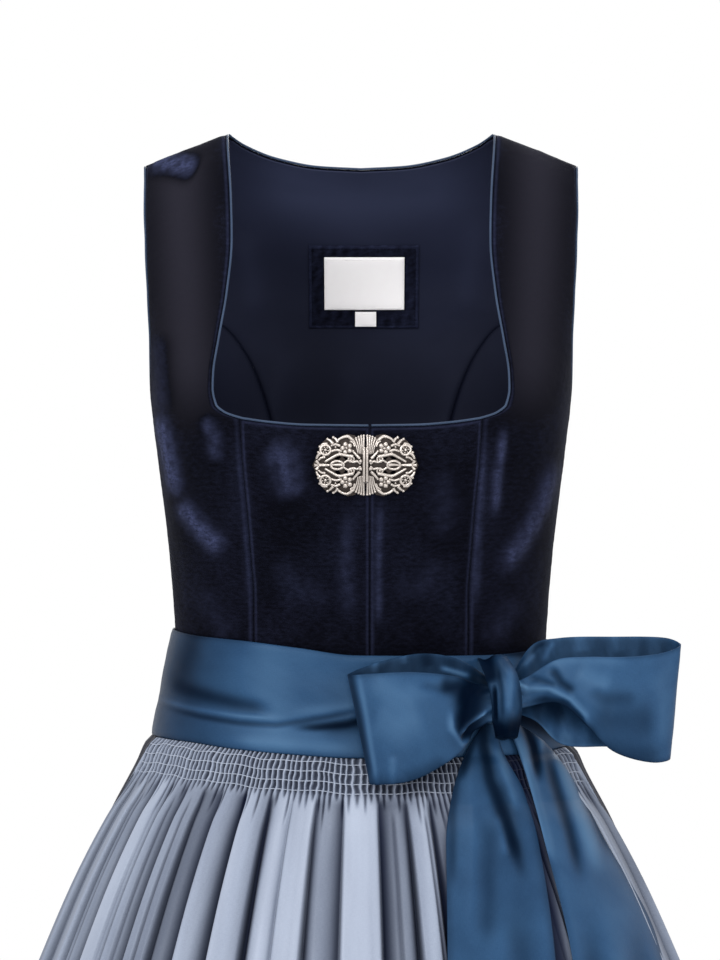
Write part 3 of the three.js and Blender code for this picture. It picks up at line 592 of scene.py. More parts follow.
def cloth_material(name, weave_colours, shade_colour, highlight_colour, edge, rough, thread, patch, bump,
                   gloss=0.3, tint=(1, 1, 1)):
    """Woven cloth. Its colour runs to a painted shade colour where shade is -1, to a painted
    highlight colour where it is 1 and to edge where it is seen at a slant; thread and patch are
    the noises' scales per millimetre."""
    material, tree, shader, weave, shade = started(name, Specular_Tint=rgba(tint))
    slant = make(tree, "ShaderNodeLayerWeight", {"Blend": 0.5}).outputs["Facing"]
    # Gloss drops to DEEP_GLOSS in the painted shade, so that the painted shade stays dark
    shiny = maths(tree, "MULTIPLY", remap(tree, shade, -1, 0, DEEP_GLOSS, gloss),
                  remap(tree, slant, 0.5, 0.95, 1, SLANT_GLOSS))
    tree.links.new(shiny, shader.inputs["Specular IOR Level"])
    across = cloth_noise(tree, weave, thread)
    along = cloth_noise(tree, weave, (thread[1], thread[0], 1))
    threads = maths(tree, "ADD", across, along)
    fine = remap(tree, threads, 0.6, 1.4, 0, THREAD_SHARE)
    broad = remap(tree, cloth_noise(tree, weave, patch, 3.0), 0.35, 0.65)
    tone = maths(tree, "MULTIPLY_ADD", broad, 1 - THREAD_SHARE, fine)
    colour = blend(tree, tone, rgba(weave_colours[0]), rgba(weave_colours[1]))
    colour = blend(tree, remap(tree, slant, 0.45, 0.95, 0, 0.8), colour, rgba(edge))
    # Painted highlight where shade is above 0, painted shade where it is below 0
    colour = blend(tree, remap(tree, shade, 0, 1), colour, rgba(highlight_colour))
    colour = blend(tree, remap(tree, shade, -1, 0), rgba(shade_colour), colour)
    tree.links.new(colour, shader.inputs["Base Color"])
    tree.links.new(remap(tree, threads, 0.6, 1.4, *rough), shader.inputs["Roughness"])
    emboss(tree, shader, threads, bump, WEAVE_RELIEF)
    return material


# The pile's own near black, a blue for its random crush and for painted sheen, and a grey for
# painted light
PILE_DARK = (0.0012, 0.0013, 0.0030)
CRUSH_AND_SHEEN_BLUE = (0.033, 0.040, 0.088)
PAINTED_LIGHT_GREY = (0.044, 0.042, 0.060)


def velvet_material():
    """Crushed pile: near black, bluish where its random crush lifts it, with a painted bluish
    sheen where shade is 1 and a painted plain grey light where it is -1."""
    material, tree, shader, weave, shade = started(
        "velvet", Sheen_Weight=0.022, Sheen_Roughness=0.35, Sheen_Tint=(0.6, 0.66, 1, 1),
        Specular_IOR_Level=0.02)
    crush = cloth_noise(tree, weave, (0.2, 0.45, 1), 5.0, 0.65)
    nap = cloth_noise(tree, weave, (1.5, 1.1, 1), 4.0, 0.75)
    cloud = cloth_noise(tree, weave, (0.02, 0.012, 1), 3.0)
    tone = maths(tree, "MULTIPLY", maths(tree, "MULTIPLY", crush, nap), cloud)
    tone = remap(tree, tone, 0.08, 0.26, 0, 0.2)
    # The painted sheen: shade lifts the colour towards blue, speckled more strongly where it is
    # higher
    spark = remap(tree, maths(tree, "ADD", nap, crush), 0.80, 1.22, -1.0, 0.9)
    strong = maths(tree, "MULTIPLY", shade, shade)
    lift = maths(tree, "ADD", maths(tree, "MULTIPLY_ADD", strong, spark, shade), tone)
    colour = blend(tree, lift, rgba(PILE_DARK), rgba(CRUSH_AND_SHEEN_BLUE))
    # Painted grey light where shade is below 0, broken up by the nap
    grey = maths(tree, "MULTIPLY", remap(tree, shade, 0, -1),
                 remap(tree, nap, 0.3, 0.7, 0.88, 1.12))
    colour = blend(tree, grey, colour, rgba(PAINTED_LIGHT_GREY))
    tree.links.new(colour, shader.inputs["Base Color"])
    tree.links.new(remap(tree, nap, 0.3, 0.7, 0.65, 0.9), shader.inputs["Roughness"])
    emboss(tree, shader, nap, 0.5, PILE_RELIEF)
    return material


def silver_material(name, hollow, wear_and_highlight, rough):
    """Old silver: bright on what stands out, partly wear and partly a painted highlight, and
    brown-grey in the hollows, partly patina and partly painted shade.
    """
    material, tree, shader, weave, shade = started(name, Metallic=1.0)
    spots = cloth_noise(tree, weave, (0.9, 0.9, 0.9), 4.0)
    lit = maths(tree, "ADD", shade, remap(tree, spots, 0.3, 0.7, -0.15, 0.15))
    colour = blend(tree, lit, rgba(hollow), rgba(wear_and_highlight))
    tree.links.new(colour, shader.inputs["Base Color"])
    tree.links.new(remap(tree, lit, 0, 1, *rough), shader.inputs["Roughness"])
    return material


velvet = velvet_material()
silver = silver_material("silver", (0.13, 0.11, 0.10), (0.50, 0.455, 0.42), (0.5, 0.32))
# A darker copy for the plate under the openwork: partly patina, partly painted shade of its recess
silver_ground = silver_material(
    "silver_ground", (0.045, 0.037, 0.034), (0.09, 0.078, 0.07), (0.6, 0.45))
# Each cloth's third colour is its painted shade and its fourth its painted highlight
sateen = cloth_material(
    "sateen", ((0.0075, 0.0095, 0.023), (0.012, 0.015, 0.034)), (0.002, 0.0025, 0.006),
    (0.026, 0.032, 0.066), (0.012, 0.015, 0.03), (0.55, 0.7), (0.8, 3.0, 1), (0.012, 0.012, 1),
    0.08, gloss=0.10)
satin = cloth_material(
    "satin", ((0.0085, 0.031, 0.080), (0.019, 0.058, 0.128)), (0.0006, 0.0025, 0.0085),
    (0.058, 0.130, 0.235), (0.022, 0.042, 0.082), (0.34, 0.5), (0.35, 2.4, 1), (0.010, 0.018, 1),
    0.22, gloss=0.24, tint=(0.5, 0.75, 1))
piping_satin = cloth_material(
    "piping_satin", ((0.020, 0.034, 0.064), (0.034, 0.054, 0.098)), (0.004, 0.008, 0.02),
    (0.045, 0.072, 0.12), (0.02, 0.03, 0.05), (0.4, 0.55), (0.8, 3.0, 1), (0.05, 0.05, 1),
    0.10, gloss=0.15)
apron_taffeta = cloth_material(
    "apron_taffeta", ((0.135, 0.158, 0.215), (0.235, 0.270, 0.345)), (0.003, 0.005, 0.017),
    (0.38, 0.42, 0.51), (0.12, 0.135, 0.175), (0.3, 0.42), (2.4, 0.35, 1), (0.05, 0.008, 1),
    0.18, gloss=0.3, tint=(0.85, 0.92, 1))
skirt_taffeta = cloth_material(
    "skirt_taffeta", ((0.010, 0.011, 0.017), (0.024, 0.026, 0.036)), (0.0015, 0.0015, 0.004),
    (0.06, 0.06, 0.08), (0.05, 0.05, 0.06), (0.34, 0.46), (3.0, 0.4, 1), (0.03, 0.006, 1),
    0.10, gloss=0.3)
label_cloth = cloth_material(
    "label_cloth", ((0.96, 0.93, 0.95), (1.0, 0.98, 0.99)), (0.55, 0.55, 0.57),
    (1, 1, 1), (0.95, 0.93, 0.94), (0.6, 0.75), (1.5, 4.0, 1), (0.03, 0.03, 1), 0.12)
thread_light = cloth_material(
    "thread_light", ((0.22, 0.25, 0.31), (0.36, 0.40, 0.49)), (0.01, 0.012, 0.025),
    (0.6, 0.65, 0.8), (0.2, 0.22, 0.28), (0.45, 0.6), (1.0, 1.0, 1), (0.1, 0.1, 1), 0.1)


# Bodice. Soft ridges and troughs as a path of (x, z), a width, a height and a tone; the tone
# paints sheen and light into the cloth
FRONT_STROKES = (
    (((-141, -196), (-133, -230), (-126, -262)), 5.5, 1.8, 1.0),
    (((-128, -258), (-112, -278), (-92, -297)), 6, 1.4, 0.9),
    (((-108, -200), (-100, -216), (-99, -236)), 4.5, 0.5, 0.45),
    (((-139, -140), (-137, -205)), 8, 0.7, 0.25),
    (((-152, -16), (-134, -22), (-112, -30)), 9, 0.4, 1.2),
    (((-84, -215), (-78, -262), (-75, -340)), 3.5, 0.7, 0.12),
    (((-66, -222), (-52, -232), (-46, -262)), 9, 0.6, 0.5),
    (((98, -207), (93, -240), (91, -274)), 3, 1.5, 0.65),
    (((136, -228), (126, -260), (115, -282), (94, -314)), 6, 2.0, 0.6),
    (((120, -212), (114, -240), (104, -262)), 9, -0.5, 0),
    (((84, -212), (81, -265), (78, -345)), 3, 0.7, 0.25),
    (((52, -236), (58, -262), (52, -290)), 10, 0.4, 0.12),
    (((60, -300), (40, -318), (20, -322)), 8, 0.5, 0.1),
    (((-64, -300), (-40, -322), (-14, -330)), 8, 0.5, 0.08),
    (((110, -325), (98, -345), (84, -362)), 8, 0.7, 0.15),
    (((-112, -318), (-100, -342), (-86, -358)), 8, 0.7, 0.1),
    (((13, -258), (12, -300), (12, -352)), 2.5, 0.9, 0.4),
    (((-8, -262), (-10, -300), (-8, -345)), 5, 0.4, 0.2),
    # Down the straps a tone below 0 paints a grey light
    (((128, 40), (122, -90), (114, -222)), 20, 0.5, -0.30),
    (((-132, 40), (-124, -90), (-114, -226)), 20, 0.5, -0.34),
)
# Painted sheen on the creases of the back
BACK_STROKES = (
    (((-66, -380), (-54, -310), (-50, -230)), 7, 1.1, 0.35),
    (((68, -390), (57, -320), (50, -240)), 7, 1.2, 0.4),
    (((-104, -180), (-90, -240), (-84, -320)), 10, 1.1, 0.22),
    (((110, -180), (94, -240), (88, -310)), 10, 1.2, 0.28),
    (((-70, -362), (-10, -352), (64, -366)), 7, 0.7, 0.25),
    (((-118, -10), (-112, -90), (-104, -180)), 14, 0.8, 0.22),
    (((120, -10), (112, -90), (106, -180)), 14, 0.8, 0.22),
    (((-60, -40), (-10, -110), (24, -200)), 18, 0.6, 0.15),
    (((-30, -200), (-22, -280), (-16, -350)), 12, 0.5, 0.16),
)
# Folds of the lining with a little painted highlight, and a broad painted light across its top
LINING_STROKES = (
    (((-70, -215), (-60, -180), (-56, -150)), 9, 1.0, 0.1),
    (((60, -225), (66, -190), (72, -160)), 9, 1.0, 0.1),
    (((-20, -215), (-8, -180), (-2, -155)), 12, 0.8, 0.1),
    (((-88, -60), (-80, -100), (-78, -130)), 9, 0.7, 0.2),
    (((86, -50), (80, -95), (76, -128)), 9, 0.7, 0.2),
    (((-96, -26), (0, -44), (96, -26)), 22, 0.3, 0.8),
)
SEAM_SIDES, SEAMS_AND_TOP = ("in", "out"), ("in", "out", "top")
ALL_SIDES = ("low", "top", "in", "out")
EDGE_ROLL = 1.1
EDGE_WIDTH = 2.2
SEAM_GLINT = 0.22
DEEPEST_DENT = -1.15
VELVET_CALM, LINING_CALM = 0.85, 0.8
LINING_SEAM = 0.4
LABEL_DEPTH, LABEL_EDGE = 0.12, 0.45


def edge_roll(points, sides):
    """How far a panel's edges turn down into its seams: 1 at a named side, fading inwards."""
    fall = np.zeros(points.shape[:-1])
    row_run = np.cumsum(np.linalg.norm(np.diff(points, axis=0, prepend=points[:1]), axis=-1), 0)
    column_run = np.cumsum(
        np.linalg.norm(np.diff(points, axis=1, prepend=points[:, :1]), axis=-1), 1)
    reach = {
        "low": row_run, "top": row_run[-1:] - row_run,
        "in": column_run, "out": column_run[:, -1:] - column_run,
    }
    for side in sides:
        fall = np.maximum(fall, bell(reach[side], EDGE_WIDTH))
    return fall


def sewn_panel(made, name):
    """The solid that a panel of the bodice or lining dresses, which is hidden."""
    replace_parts(made, name)


def velvet_panel(name, angle, level, facing, sides, seed, flat):
    """A panel of the bodice, whose named sides turn down into their seams."""
    base = body_point(angle, level, facing)
    out = normals(base, away(base))
    folds, tone = strokes(base, FRONT_STROKES if facing > 0 else BACK_STROKES)
    crumple = 0.22 * ripple(base, 26, seed) + 0.10 * ripple(base * (0.5, 0.5, 1.6), 7, seed + 1, 2)
    seams = edge_roll(base, sides)
    calm = 1 - VELVET_CALM * edge_roll(base, ALL_SIDES)
    relief = (folds + crumple) * calm - EDGE_ROLL * seams
    outer = base + out * np.maximum(relief, DEEPEST_DENT)[..., None]
    inner = (base - out * (VELVET - 0.1))[::2, ::2]
    # Painted sheen in uneven patches where the tone is above 0, an even painted light where it is
    # below, and a painted glint along the seams
    patchy = 0.5 + 0.5 * ripple(base, 11, seed + 2)
    glint = SEAM_GLINT * smooth(0.1, 0.5, seams) * smooth(0.98, 0.7, seams)
    tone *= np.where(tone > 0, 0.35 + 0.9 * patchy, 0.85)
    made = cloth(name + "_velvet", outer, inner, velvet,
                 shade=np.clip(tone + glint, -1, 1.6))
    sewn_panel(made, name)


def to_shoulder(start, share, count):
    """Levels from just above start up to a share of the way to the shoulder, closer at the top."""
    return start * (1 - np.linspace(0, share, count)[1:]) ** 2


TOP_LEVELS = to_shoulder(-40, 1, 34)
LOW_LEVELS = np.linspace(BODICE_HEM, NECK_CORNER, 121)
NECK_LEVELS = np.linspace(NECK_CORNER, -40, 112)[1:]
ALL_LEVELS = np.concatenate([LOW_LEVELS, NECK_LEVELS, TOP_LEVELS])
CENTRE_ROWS, CENTRE_COLUMNS, SIDE_COLUMNS, BACK_COLUMNS = 119, 55, 57, 101


def front_centre(hand, name, seed):
    """A centre front panel, from the closure to the front seam."""
    row, column = grid(np.linspace(0, 1, CENTRE_ROWS), np.linspace(0, 1, CENTRE_COLUMNS))
    top = look(NECK_LOWER, "level", NECK_CORNER_X * column)
    level = mix(BODICE_HEM, top, row)
    middle = hand * CLOSURE_X + HALF_GAP
    seam = look(FRONT_SEAM, "x", level) - HALF_GAP
    angle = angle_of(hand * mix(middle, seam, column), level)
    velvet_panel(name, angle, level, 1, SEAMS_AND_TOP, seed, (0.095, 0.195))


def front_side(hand, name, seed):
    """A side front panel with its strap, from the front seam to the armhole."""
    level, column = grid(ALL_LEVELS, np.linspace(0, 1, SIDE_COLUMNS))
    low = look(FRONT_SEAM, "x", level)
    edge = np.where(level < NECK_CORNER, low, look(NECK_EDGE, "x", level))
    inner = angle_of(edge + HALF_GAP, level)
    angle = hand * mix(inner, armhole_angle(level), column)
    velvet_panel(name, angle, level, 1, SEAMS_AND_TOP, seed, (0.135, 0.43))


# The back's rows, one of them moved to just under the point where its side seams start
BACK_LEVELS = ALL_LEVELS[::2].copy()
BACK_LEVELS[np.abs(BACK_LEVELS - BACK_SEAM_TOP).argmin()] = BACK_SEAM_TOP - 0.05
BACK_SIDE_LEVELS = BACK_LEVELS[BACK_LEVELS < BACK_SEAM_TOP]
LINING_HALF_GAP = 0.03


def back_side_place(hand, half_gap):
    level, column = grid(BACK_SIDE_LEVELS, np.linspace(0, 1, SIDE_COLUMNS))
    inner = np.minimum(angle_of(back_seam_x(level) + half_gap, level), armhole_angle(level) - 0.1)
    return hand * mix(inner, armhole_angle(level), column), level


def back_centre_place(half_gap):
    level, column = grid(BACK_LEVELS, np.linspace(-1, 1, BACK_COLUMNS))
    return back_place(column, level, half_gap)


def lining_panel(name, angle, level, seed, flat):
    """A panel of the back's lining, under its velvet."""
    base = body_point(angle, level, -1)
    out = normals(base, away(base))
    depth = VELVET + SEAM_GAP
    folds, tone = strokes(base, LINING_STROKES)
    folds += 0.18 * ripple(base, 30, seed)
    calm = 1 - LINING_CALM * edge_roll(base, ALL_SIDES)
    seams = LINING_SEAM * edge_roll(base, SEAM_SIDES)
    # Painted light towards the top, painted shade towards the bottom and along the seams
    tone += 0.3 * smooth(-90, -20, level) - 0.55 * smooth(-90, -205, level)
    tone -= seams
    folds = np.maximum(folds * calm, -0.2) - seams
    outer = (base - out * (depth + 0.1))[::2, ::2]
    inner = base - out * (depth + LINING + folds)[..., None]
    made = cloth(name + "_sateen", inner, outer, sateen, shade=np.clip(tone, -1, 1))
    sewn_panel(made, name)


CORD_RADIUS = 0.8
CORD_GAP = 0.05
CORD_SIDES = 10


def piping(name, angle, level, facing, closed):
    """A smooth satin cord along an edge of the bodice, just past it."""
    facing = np.broadcast_to(facing, angle.shape)[:, None]

    def both(a, at):
        return np.where(facing > 0, body_point(a, at, 1), body_point(a, at, -1))

    edge = both(angle, level)
    along = directions(edge, closed)
    nudge = 0.4
    low = np.maximum(level - nudge, BODICE_HEM)
    high = np.minimum(low + 2 * nudge, -0.01)
    left = np.maximum(angle - nudge, -89.9)
    right = np.minimum(left + 2 * nudge, 89.9)
    normal = np.cross(both(right, level) - both(left, level), both(angle, high) - both(angle, low))
    normal *= facing
    on_seam = np.abs(edge[:, 1]) < SEAM_GAP
    normal[on_seam, 1] = 0
    out = unit(np.cross(unit(normal), along))
    face = np.cross(along, out)
    centre = edge + out * (CORD_RADIUS + CORD_GAP) - face * VELVET / 2
    made, faces = tube_parts(centre, CORD_RADIUS, CORD_SIDES, closed, (0.1, 0.2, 1.0))
    if signed_volume(made, faces) < 0:
        faces = [one[::-1] for one in faces]
    run = np.cumsum(np.linalg.norm(np.diff(centre, axis=0, prepend=centre[:1]), axis=1))
    run = np.repeat(run, CORD_SIDES)
    turn = np.tile(np.arange(float(CORD_SIDES)), len(centre))
    weave = np.stack([run, turn, 0 * run], 1)
    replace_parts(build(name + "_cord", made, faces, piping_satin, weave), name)


def neck_path(hand):
    """The neck's edge in front, from the closure to the shoulder."""
    lower_x = np.linspace(CLOSURE_X * hand + 1, 81, 60)
    level_low = look(NECK_LOWER, "level", lower_x)
    upright = runs((-203, -165, 46), (-164, -30, 70))
    upright = np.concatenate([upright, to_shoulder(-30, 0.78, 20)])
    x = np.concatenate([lower_x, look(NECK_EDGE, "x", upright)])
    level = np.concatenate([level_low, upright])
    angle = angle_of(hand * x, level)
    if hand > 0:
        return angle, level
    return angle[::-1], level[::-1]


def armhole_ring(hand):
    """The edge of an armhole, down the front and up the back."""
    rise = np.concatenate([np.linspace(-194.5, -40, 90), to_shoulder(-40, 0.83, 24)])
    front = rise[::-1]
    level = np.concatenate([front, [UNDERARM], rise, [-0.05]])
    facing = np.concatenate([np.ones(len(front) + 1), -np.ones(len(rise) + 1)])
    angle = hand * armhole_angle(level)
    if hand > 0:
        return angle, level, facing
    return angle[::-1], level[::-1], facing[::-1]


def at_shares(surface, row, column):
    """Points of a grid at shares of its rows and of its columns."""
    place = np.asarray(row) * (surface.shape[0] - 1), np.asarray(column) * (surface.shape[1] - 1)
    low = [np.clip(at.astype(int), 0, surface.shape[k] - 2) for k, at in enumerate(place)]
    down, over = (place[0] - low[0])[:, None], (place[1] - low[1])[:, None]
    near = mix(surface[low[0], low[1]], surface[low[0], low[1] + 1], over)
    far = mix(surface[low[0] + 1, low[1]], surface[low[0] + 1, low[1] + 1], over)
    return mix(near, far, down)


STITCH = 2.6
STITCH_RADIUS = 0.2
STITCH_START, STITCH_END = 0.18, 0.82


def label_piece(name, sewn, material, inset):
    """A small flat cloth sewn inside the back, with a row of stitches round its edge."""
    depth = VELVET + LINING + SEAM_GAP + LABEL_STAND_OFF
    depth += sewn["depth"] * (LABEL_CLOTH + 2 * SEAM_GAP)
    row, column = grid(np.linspace(-0.5, 0.5, 43), np.linspace(-0.5, 0.5, 55))
    level = sewn["level"] + row * sewn["height"]
    x = sewn["x"] + column * sewn["width"]
    base = body_point(angle_of(x, level), level, -1)
    out = normals(base, away(base))
    calm = edge_roll(base, ALL_SIDES)
    relief = LABEL_DEPTH * ripple(base, 18, 31) * (1 - calm) - LABEL_EDGE * calm
    outer = (base - out * (depth + 0.2))[::2, ::2]
    inner = base - out * (depth + LABEL_CLOTH + relief)[..., None]
    # Painted light lifts the whole piece, with random ripples of tone and a painted highlight on
    # its rolled edges
    tone = 0.12 + 0.16 * ripple(base, 7, 32) + 0.2 * smooth(0.15, 0.6, calm)
    made = cloth(name + "_cloth", inner, outer, material, shade=np.clip(tone, 0, 1))
    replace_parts(made, name)
    face = inner - out * 0.6 * STITCH_RADIUS
    left, low = inset / sewn["width"], inset / sewn["height"]
    corners = np.array([(low, left), (low, 1 - left), (1 - low, 1 - left), (1 - low, left)])
    parts = []
    for k, start in enumerate(corners):
        end = corners[(k + 1) % 4]
        count = int(math.hypot(*((end - start) * (sewn["height"], sewn["width"]))) / STITCH)
        for number in range(count):
            share = np.linspace(number + STITCH_START, number + STITCH_END, 4)[:, None] / count
            line = at_shares(face, *mix(start, end, share).T)
            parts.append(tube_parts(line, STITCH_RADIUS, 5, False, (0, 1, 0)))
    points, faces = joined(parts)
    build(name + "_stitches", points, faces, material)


for hand, side in ((1, "left"), (-1, "right")):
    front_centre(hand, f"front_centre_{side}", 3 + hand)
    front_side(hand, f"front_side_{side}", 13 + hand)
    velvet_panel(f"back_side_{side}", *back_side_place(hand, HALF_GAP), -1, SEAM_SIDES, 23 + hand,
                 (0.125, 0.265))
    lining_panel(f"lining_side_{side}", *back_side_place(hand, LINING_HALF_GAP), 43 + hand,
                 (0.125, 0.265))
    piping(f"neck_piping_front_{side}", *neck_path(hand), 1, False)
    piping(f"armhole_piping_{side}", *armhole_ring(hand), True)
velvet_panel("back_centre", *back_centre_place(HALF_GAP), -1, SEAMS_AND_TOP, 33, (0.315, 0.435))
# The centre lining stops two rows short of the shoulder
lining_angle, lining_level = back_centre_place(LINING_HALF_GAP)
lining_panel("lining_centre", lining_angle[:-2], lining_level[:-2], 53, (0.315, 0.43))
fractions = np.linspace(0.617, -0.617, 121)
piping("neck_piping_back", *back_place(fractions, 0 * fractions), -1, False)
label_piece("label_patch", PATCH, velvet, 2.5)
label_piece("label", LABEL, label_cloth, 1.8)
label_piece("size_tag", TAG, label_cloth, 1.4)


# Skirt: two widths, with gathers that are close at the waist and open out towards the hem
COLUMNS_A_PLEAT = 9
# How far the pleats stray, and the share of their height that fine and single ones have
STRAY, SLOW_TURNS = 0.8, 7
STRAY_MORE, QUICK_TURNS = 0.6, 13
FINE_PLEATS, LONE_PLEATS = 0.3, 0.4


def skirt_width(name, start):
    """Half of the skirt, from the angle start to the other side seam."""
    columns = SKIRT_PLEATS * COLUMNS_A_PLEAT
    levels = runs((-385.3, -424, 8), (-428, -520, 26), (-535, SKIRT_HEM, 26))
    level, share = grid(levels, np.linspace(0, 1, columns + 1))
    angle = start + 180 * share
    angle = wrapped(angle)
    turn = angle / 360 + 0.5
    phase = SKIRT_PLEATS * 2 * math.pi * turn
    stray = STRAY * np.sin(SLOW_TURNS * 2 * math.pi * turn + 1)
    stray += STRAY_MORE * np.sin(QUICK_TURNS * 2 * math.pi * turn)
    stray *= np.sin(math.pi * share) ** 0.5
    wave = -np.sin(phase + stray * smooth(430, 560, -level))
    fine = np.sin(3 * phase + 2.2 * stray) * smooth(-620, -440, level) * FINE_PLEATS
    lone = LONE_PLEATS * np.sin(phase / 2 + 5 * stray) * smooth(480, 800, -level)
    lone *= np.sin(math.pi * share) ** 0.3
    open_share = gather_share(angle)
    base = skirt_point(angle, level, 0, (wave + lone) * open_share)
    outer = skirt_point(angle, level, 0, (wave + lone + fine) * open_share * 0.96)
    for points in (base, outer):
        points[:, (0, -1), 1] = -HALF_GAP if start < 0 else HALF_GAP
    inner = (base - normals(base, away(base)) * TAFFETA * 0.7)[:, ::2]
    inner[:, (0, -1), 1] = outer[:, (0, -1), 1]
    # Painted light on the crests of the gathers and painted shade in their hollows
    tone = np.clip(0.35 * wave - 0.15, -1, 1) * open_share
    made = cloth(name + "_cloth", outer, inner, skirt_taffeta, shade=tone)
    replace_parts(made, name)


skirt_width("skirt_front", -90)
skirt_width("skirt_back", 90)


# Apron: shirred under the band in close rows, then falling in uneven folds
SHIRRING_COLUMNS = 92
SHIRRING_END = -449
FOLD_KINDS, PLEAT_KINDS = 40, 200
VALLEY_CURVE = 1.4
CREASE_WIDTH, CREASE_DEPTH = 0.13, 0.42
THREAD_PINCH, THREAD_PULL = 0.35, 1.1
THREAD_LEVELS = (-429, -435.2, -441.6, -447.8)
THREAD_RADIUS, THREAD_SIDES = 0.36, 5
SHIRRED_DEPTH = 3.4
PLEAT_FADE = (4, 26)
APRON_SEED = 5
SHARP_SIDE, SLACK_SIDE = 0.09, 0.36
APRON_COLUMNS = 1040
# Deep shadow that the bow and its tails leave on the apron
APRON_STROKES = (
    (((70, -300), (92, -400), (103, -432), (108, -450), (120, -500), (140, -620), (156, -760)),
     9, 0, -2.0),
    (((62, -440), (64, -470), (58, -520), (58, -600)), 6, 0, -0.5),
    (((20, -452), (48, -448), (72, -434)), 6, 0, -0.4),
    (((150, -440), (178, -480), (206, -540)), 6, 0, -0.35),
)


def fold_wave(t):
    turn = t * 2 * math.pi
    return APRON_FOLDS * turn + FOLD_STRAY * np.sin(FOLD_STRAY_TURNS * turn)


def shirring_phase(t, level):
    """The ridges of the shirring: as close in front view at the middle as towards the sides."""
    edge = math.sin(math.radians(APRON_EDGE_ANGLE))
    across = np.sin(np.radians(mix(-APRON_EDGE_ANGLE, APRON_EDGE_ANGLE, t))) / edge
    share = 0.5 + 0.5 * (0.86 * across + 0.14 * across ** 3)
    lean = 0.45 * np.sin(0.42 * level + 61 * t) + 0.3 * np.sin(0.9 * level + 149 * t)
    stray = 0.9 * np.sin(41 * t) + 0.6 * np.sin(97 * t) + 0.4 * np.sin(211 * t)
    return SHIRRING_COLUMNS * 2 * math.pi * share + stray + lean


def thread_level(t, level):
    """A row of thread, which the gathers pull up and down a little."""
    return level + 0.55 * np.sin(37 * t + level) + 0.35 * np.sin(83 * t + 2 * level)


def apron_relief(t, level):
    """The height of the apron's outer face over its plain ground, and its tone of painted light
    and shade.
    """
    source = np.random.default_rng(APRON_SEED)
    theta = fold_wave(t) + math.pi
    number = (theta // (2 * math.pi)).astype(int) % FOLD_KINDS
    across = (theta % (2 * math.pi)) / math.pi - 1
    tilt, offset, bright, keep, late, sharp = source.uniform(-1, 1, (6, FOLD_KINDS + 1))
    depth = source.uniform(0.3, 1, FOLD_KINDS + 1) ** 0.8
    fold = look(APRON_FALLS, "fold", level)
    # Each valley is steep on one of its sides and slack on the other
    rising = np.where(sharp[number] > 0, SHARP_SIDE, SLACK_SIDE)
    falling = np.where(sharp[number + 1] > 0, SLACK_SIDE, SHARP_SIDE)
    before = depth[number] * np.exp(-(((1 + across) / rising) ** VALLEY_CURVE))
    after = depth[number + 1] * np.exp(-(((1 - across) / falling) ** VALLEY_CURVE))
    valley = before + after
    crease = bell(across - 0.5 * offset[number], CREASE_WIDTH) * smooth(-456, -468, level)
    crease *= 1 - smooth(30, 260, -level - 470 + 90 * late[number])
    crease *= np.maximum(0.4 + 0.6 * keep[number], 0)
    height = fold * 2 * (1 - valley) * (1 + 0.16 * tilt[number] * across)
    height -= CREASE_DEPTH * fold * crease
    # Painted shade in the valleys and creases, and painted light on the faces of the folds, more
    # on some and on one side of each
    tone = -1.5 * valley * smooth(-446, -458, level) - 0.75 * crease
    tone += 0.35 * tilt[number] * across + 0.42 * bright[number] - 0.1
    tone *= smooth(-446, -456, level)

    phase = shirring_phase(t, np.maximum(level, SHIRRING_END))
    pleat = (phase / (2 * math.pi)).astype(int) % PLEAT_KINDS
    reach = mix(*PLEAT_FADE, source.uniform(0, 1, PLEAT_KINDS) ** 1.8)[pleat]
    ridge = 0.5 + 0.5 * np.cos(phase)
    shirred = smooth(-451, -448, level)
    cell = mix((1 - ridge) ** 3, 1 - ridge ** 1.25, shirred)
    fading = 1 - smooth(0.2, 1, (SHIRRING_END - level) / reach)
    rows = np.min([np.abs(level - thread_level(t, row)) for row in THREAD_LEVELS], 0)
    pinch = 1 - THREAD_PINCH * bell(rows, THREAD_PULL)
    top = mix(0.0, PUFF, smooth(-470, SHIRRING_END, level))
    height += top - mix(0.5, 1, shirred) * SHIRRED_DEPTH * pinch * cell * fading
    # Painted shade in the cells of the shirring and painted highlight on its ridges
    tone -= mix(1.0, 1.1, shirred) * cell * fading * (0.8 + 0.2 * pinch)
    tone += 0.25 * shirred * ridge ** 3
    return TAFFETA + np.maximum(height, -1.1), tone


def apron():
    """The apron's cloth, and the rows of thread that draw up its shirring."""
    levels = runs((-425.4, -452, 28), (-453.5, -500, 26), (-504, -620, 12), (-650, APRON_HEM, 12))
    level, t = grid(levels, np.linspace(0, 1, APRON_COLUMNS + 1))
    height, tone = apron_relief(t, level)
    outer = apron_point(t, level, height)
    tone = soft(tone + strokes(outer, APRON_STROKES)[1])
    inner_levels = np.concatenate([[-425.4, -437, -448], np.linspace(-455, APRON_HEM, 30)])
    level, t = grid(inner_levels, np.linspace(0, 1, APRON_COLUMNS // 4 + 1))
    nearby = [apron_relief(np.clip(t + step * 2 / APRON_COLUMNS, 0, 1), level)[0]
              for step in (-2, -1, 0, 1, 2)]
    inner = apron_point(t, level, np.maximum(np.min(nearby, 0) - 1.3, 0.3))
    made = cloth("apron_cloth", outer, inner, apron_taffeta, shade=tone)
    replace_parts(made, "apron")
    t = np.linspace(0.0008, 0.9992, 760)
    parts = []
    for row in THREAD_LEVELS:
        level = thread_level(t, row)
        lift = TAFFETA + PUFF - 1.2 + 1.1 * (0.5 + 0.5 * np.cos(shirring_phase(t, level)))
        line = apron_point(t, level, lift)
        parts.append(tube_parts(line, THREAD_RADIUS, THREAD_SIDES, False, (0, 0, 1)))
    points, faces = joined(parts)
    # The painted shadow of the bow and its tails falls on the threads as well
    tone = soft(strokes(points, APRON_STROKES)[1])
    build("shirring_threads", points, faces, thread_light, shade=tone)


apron()


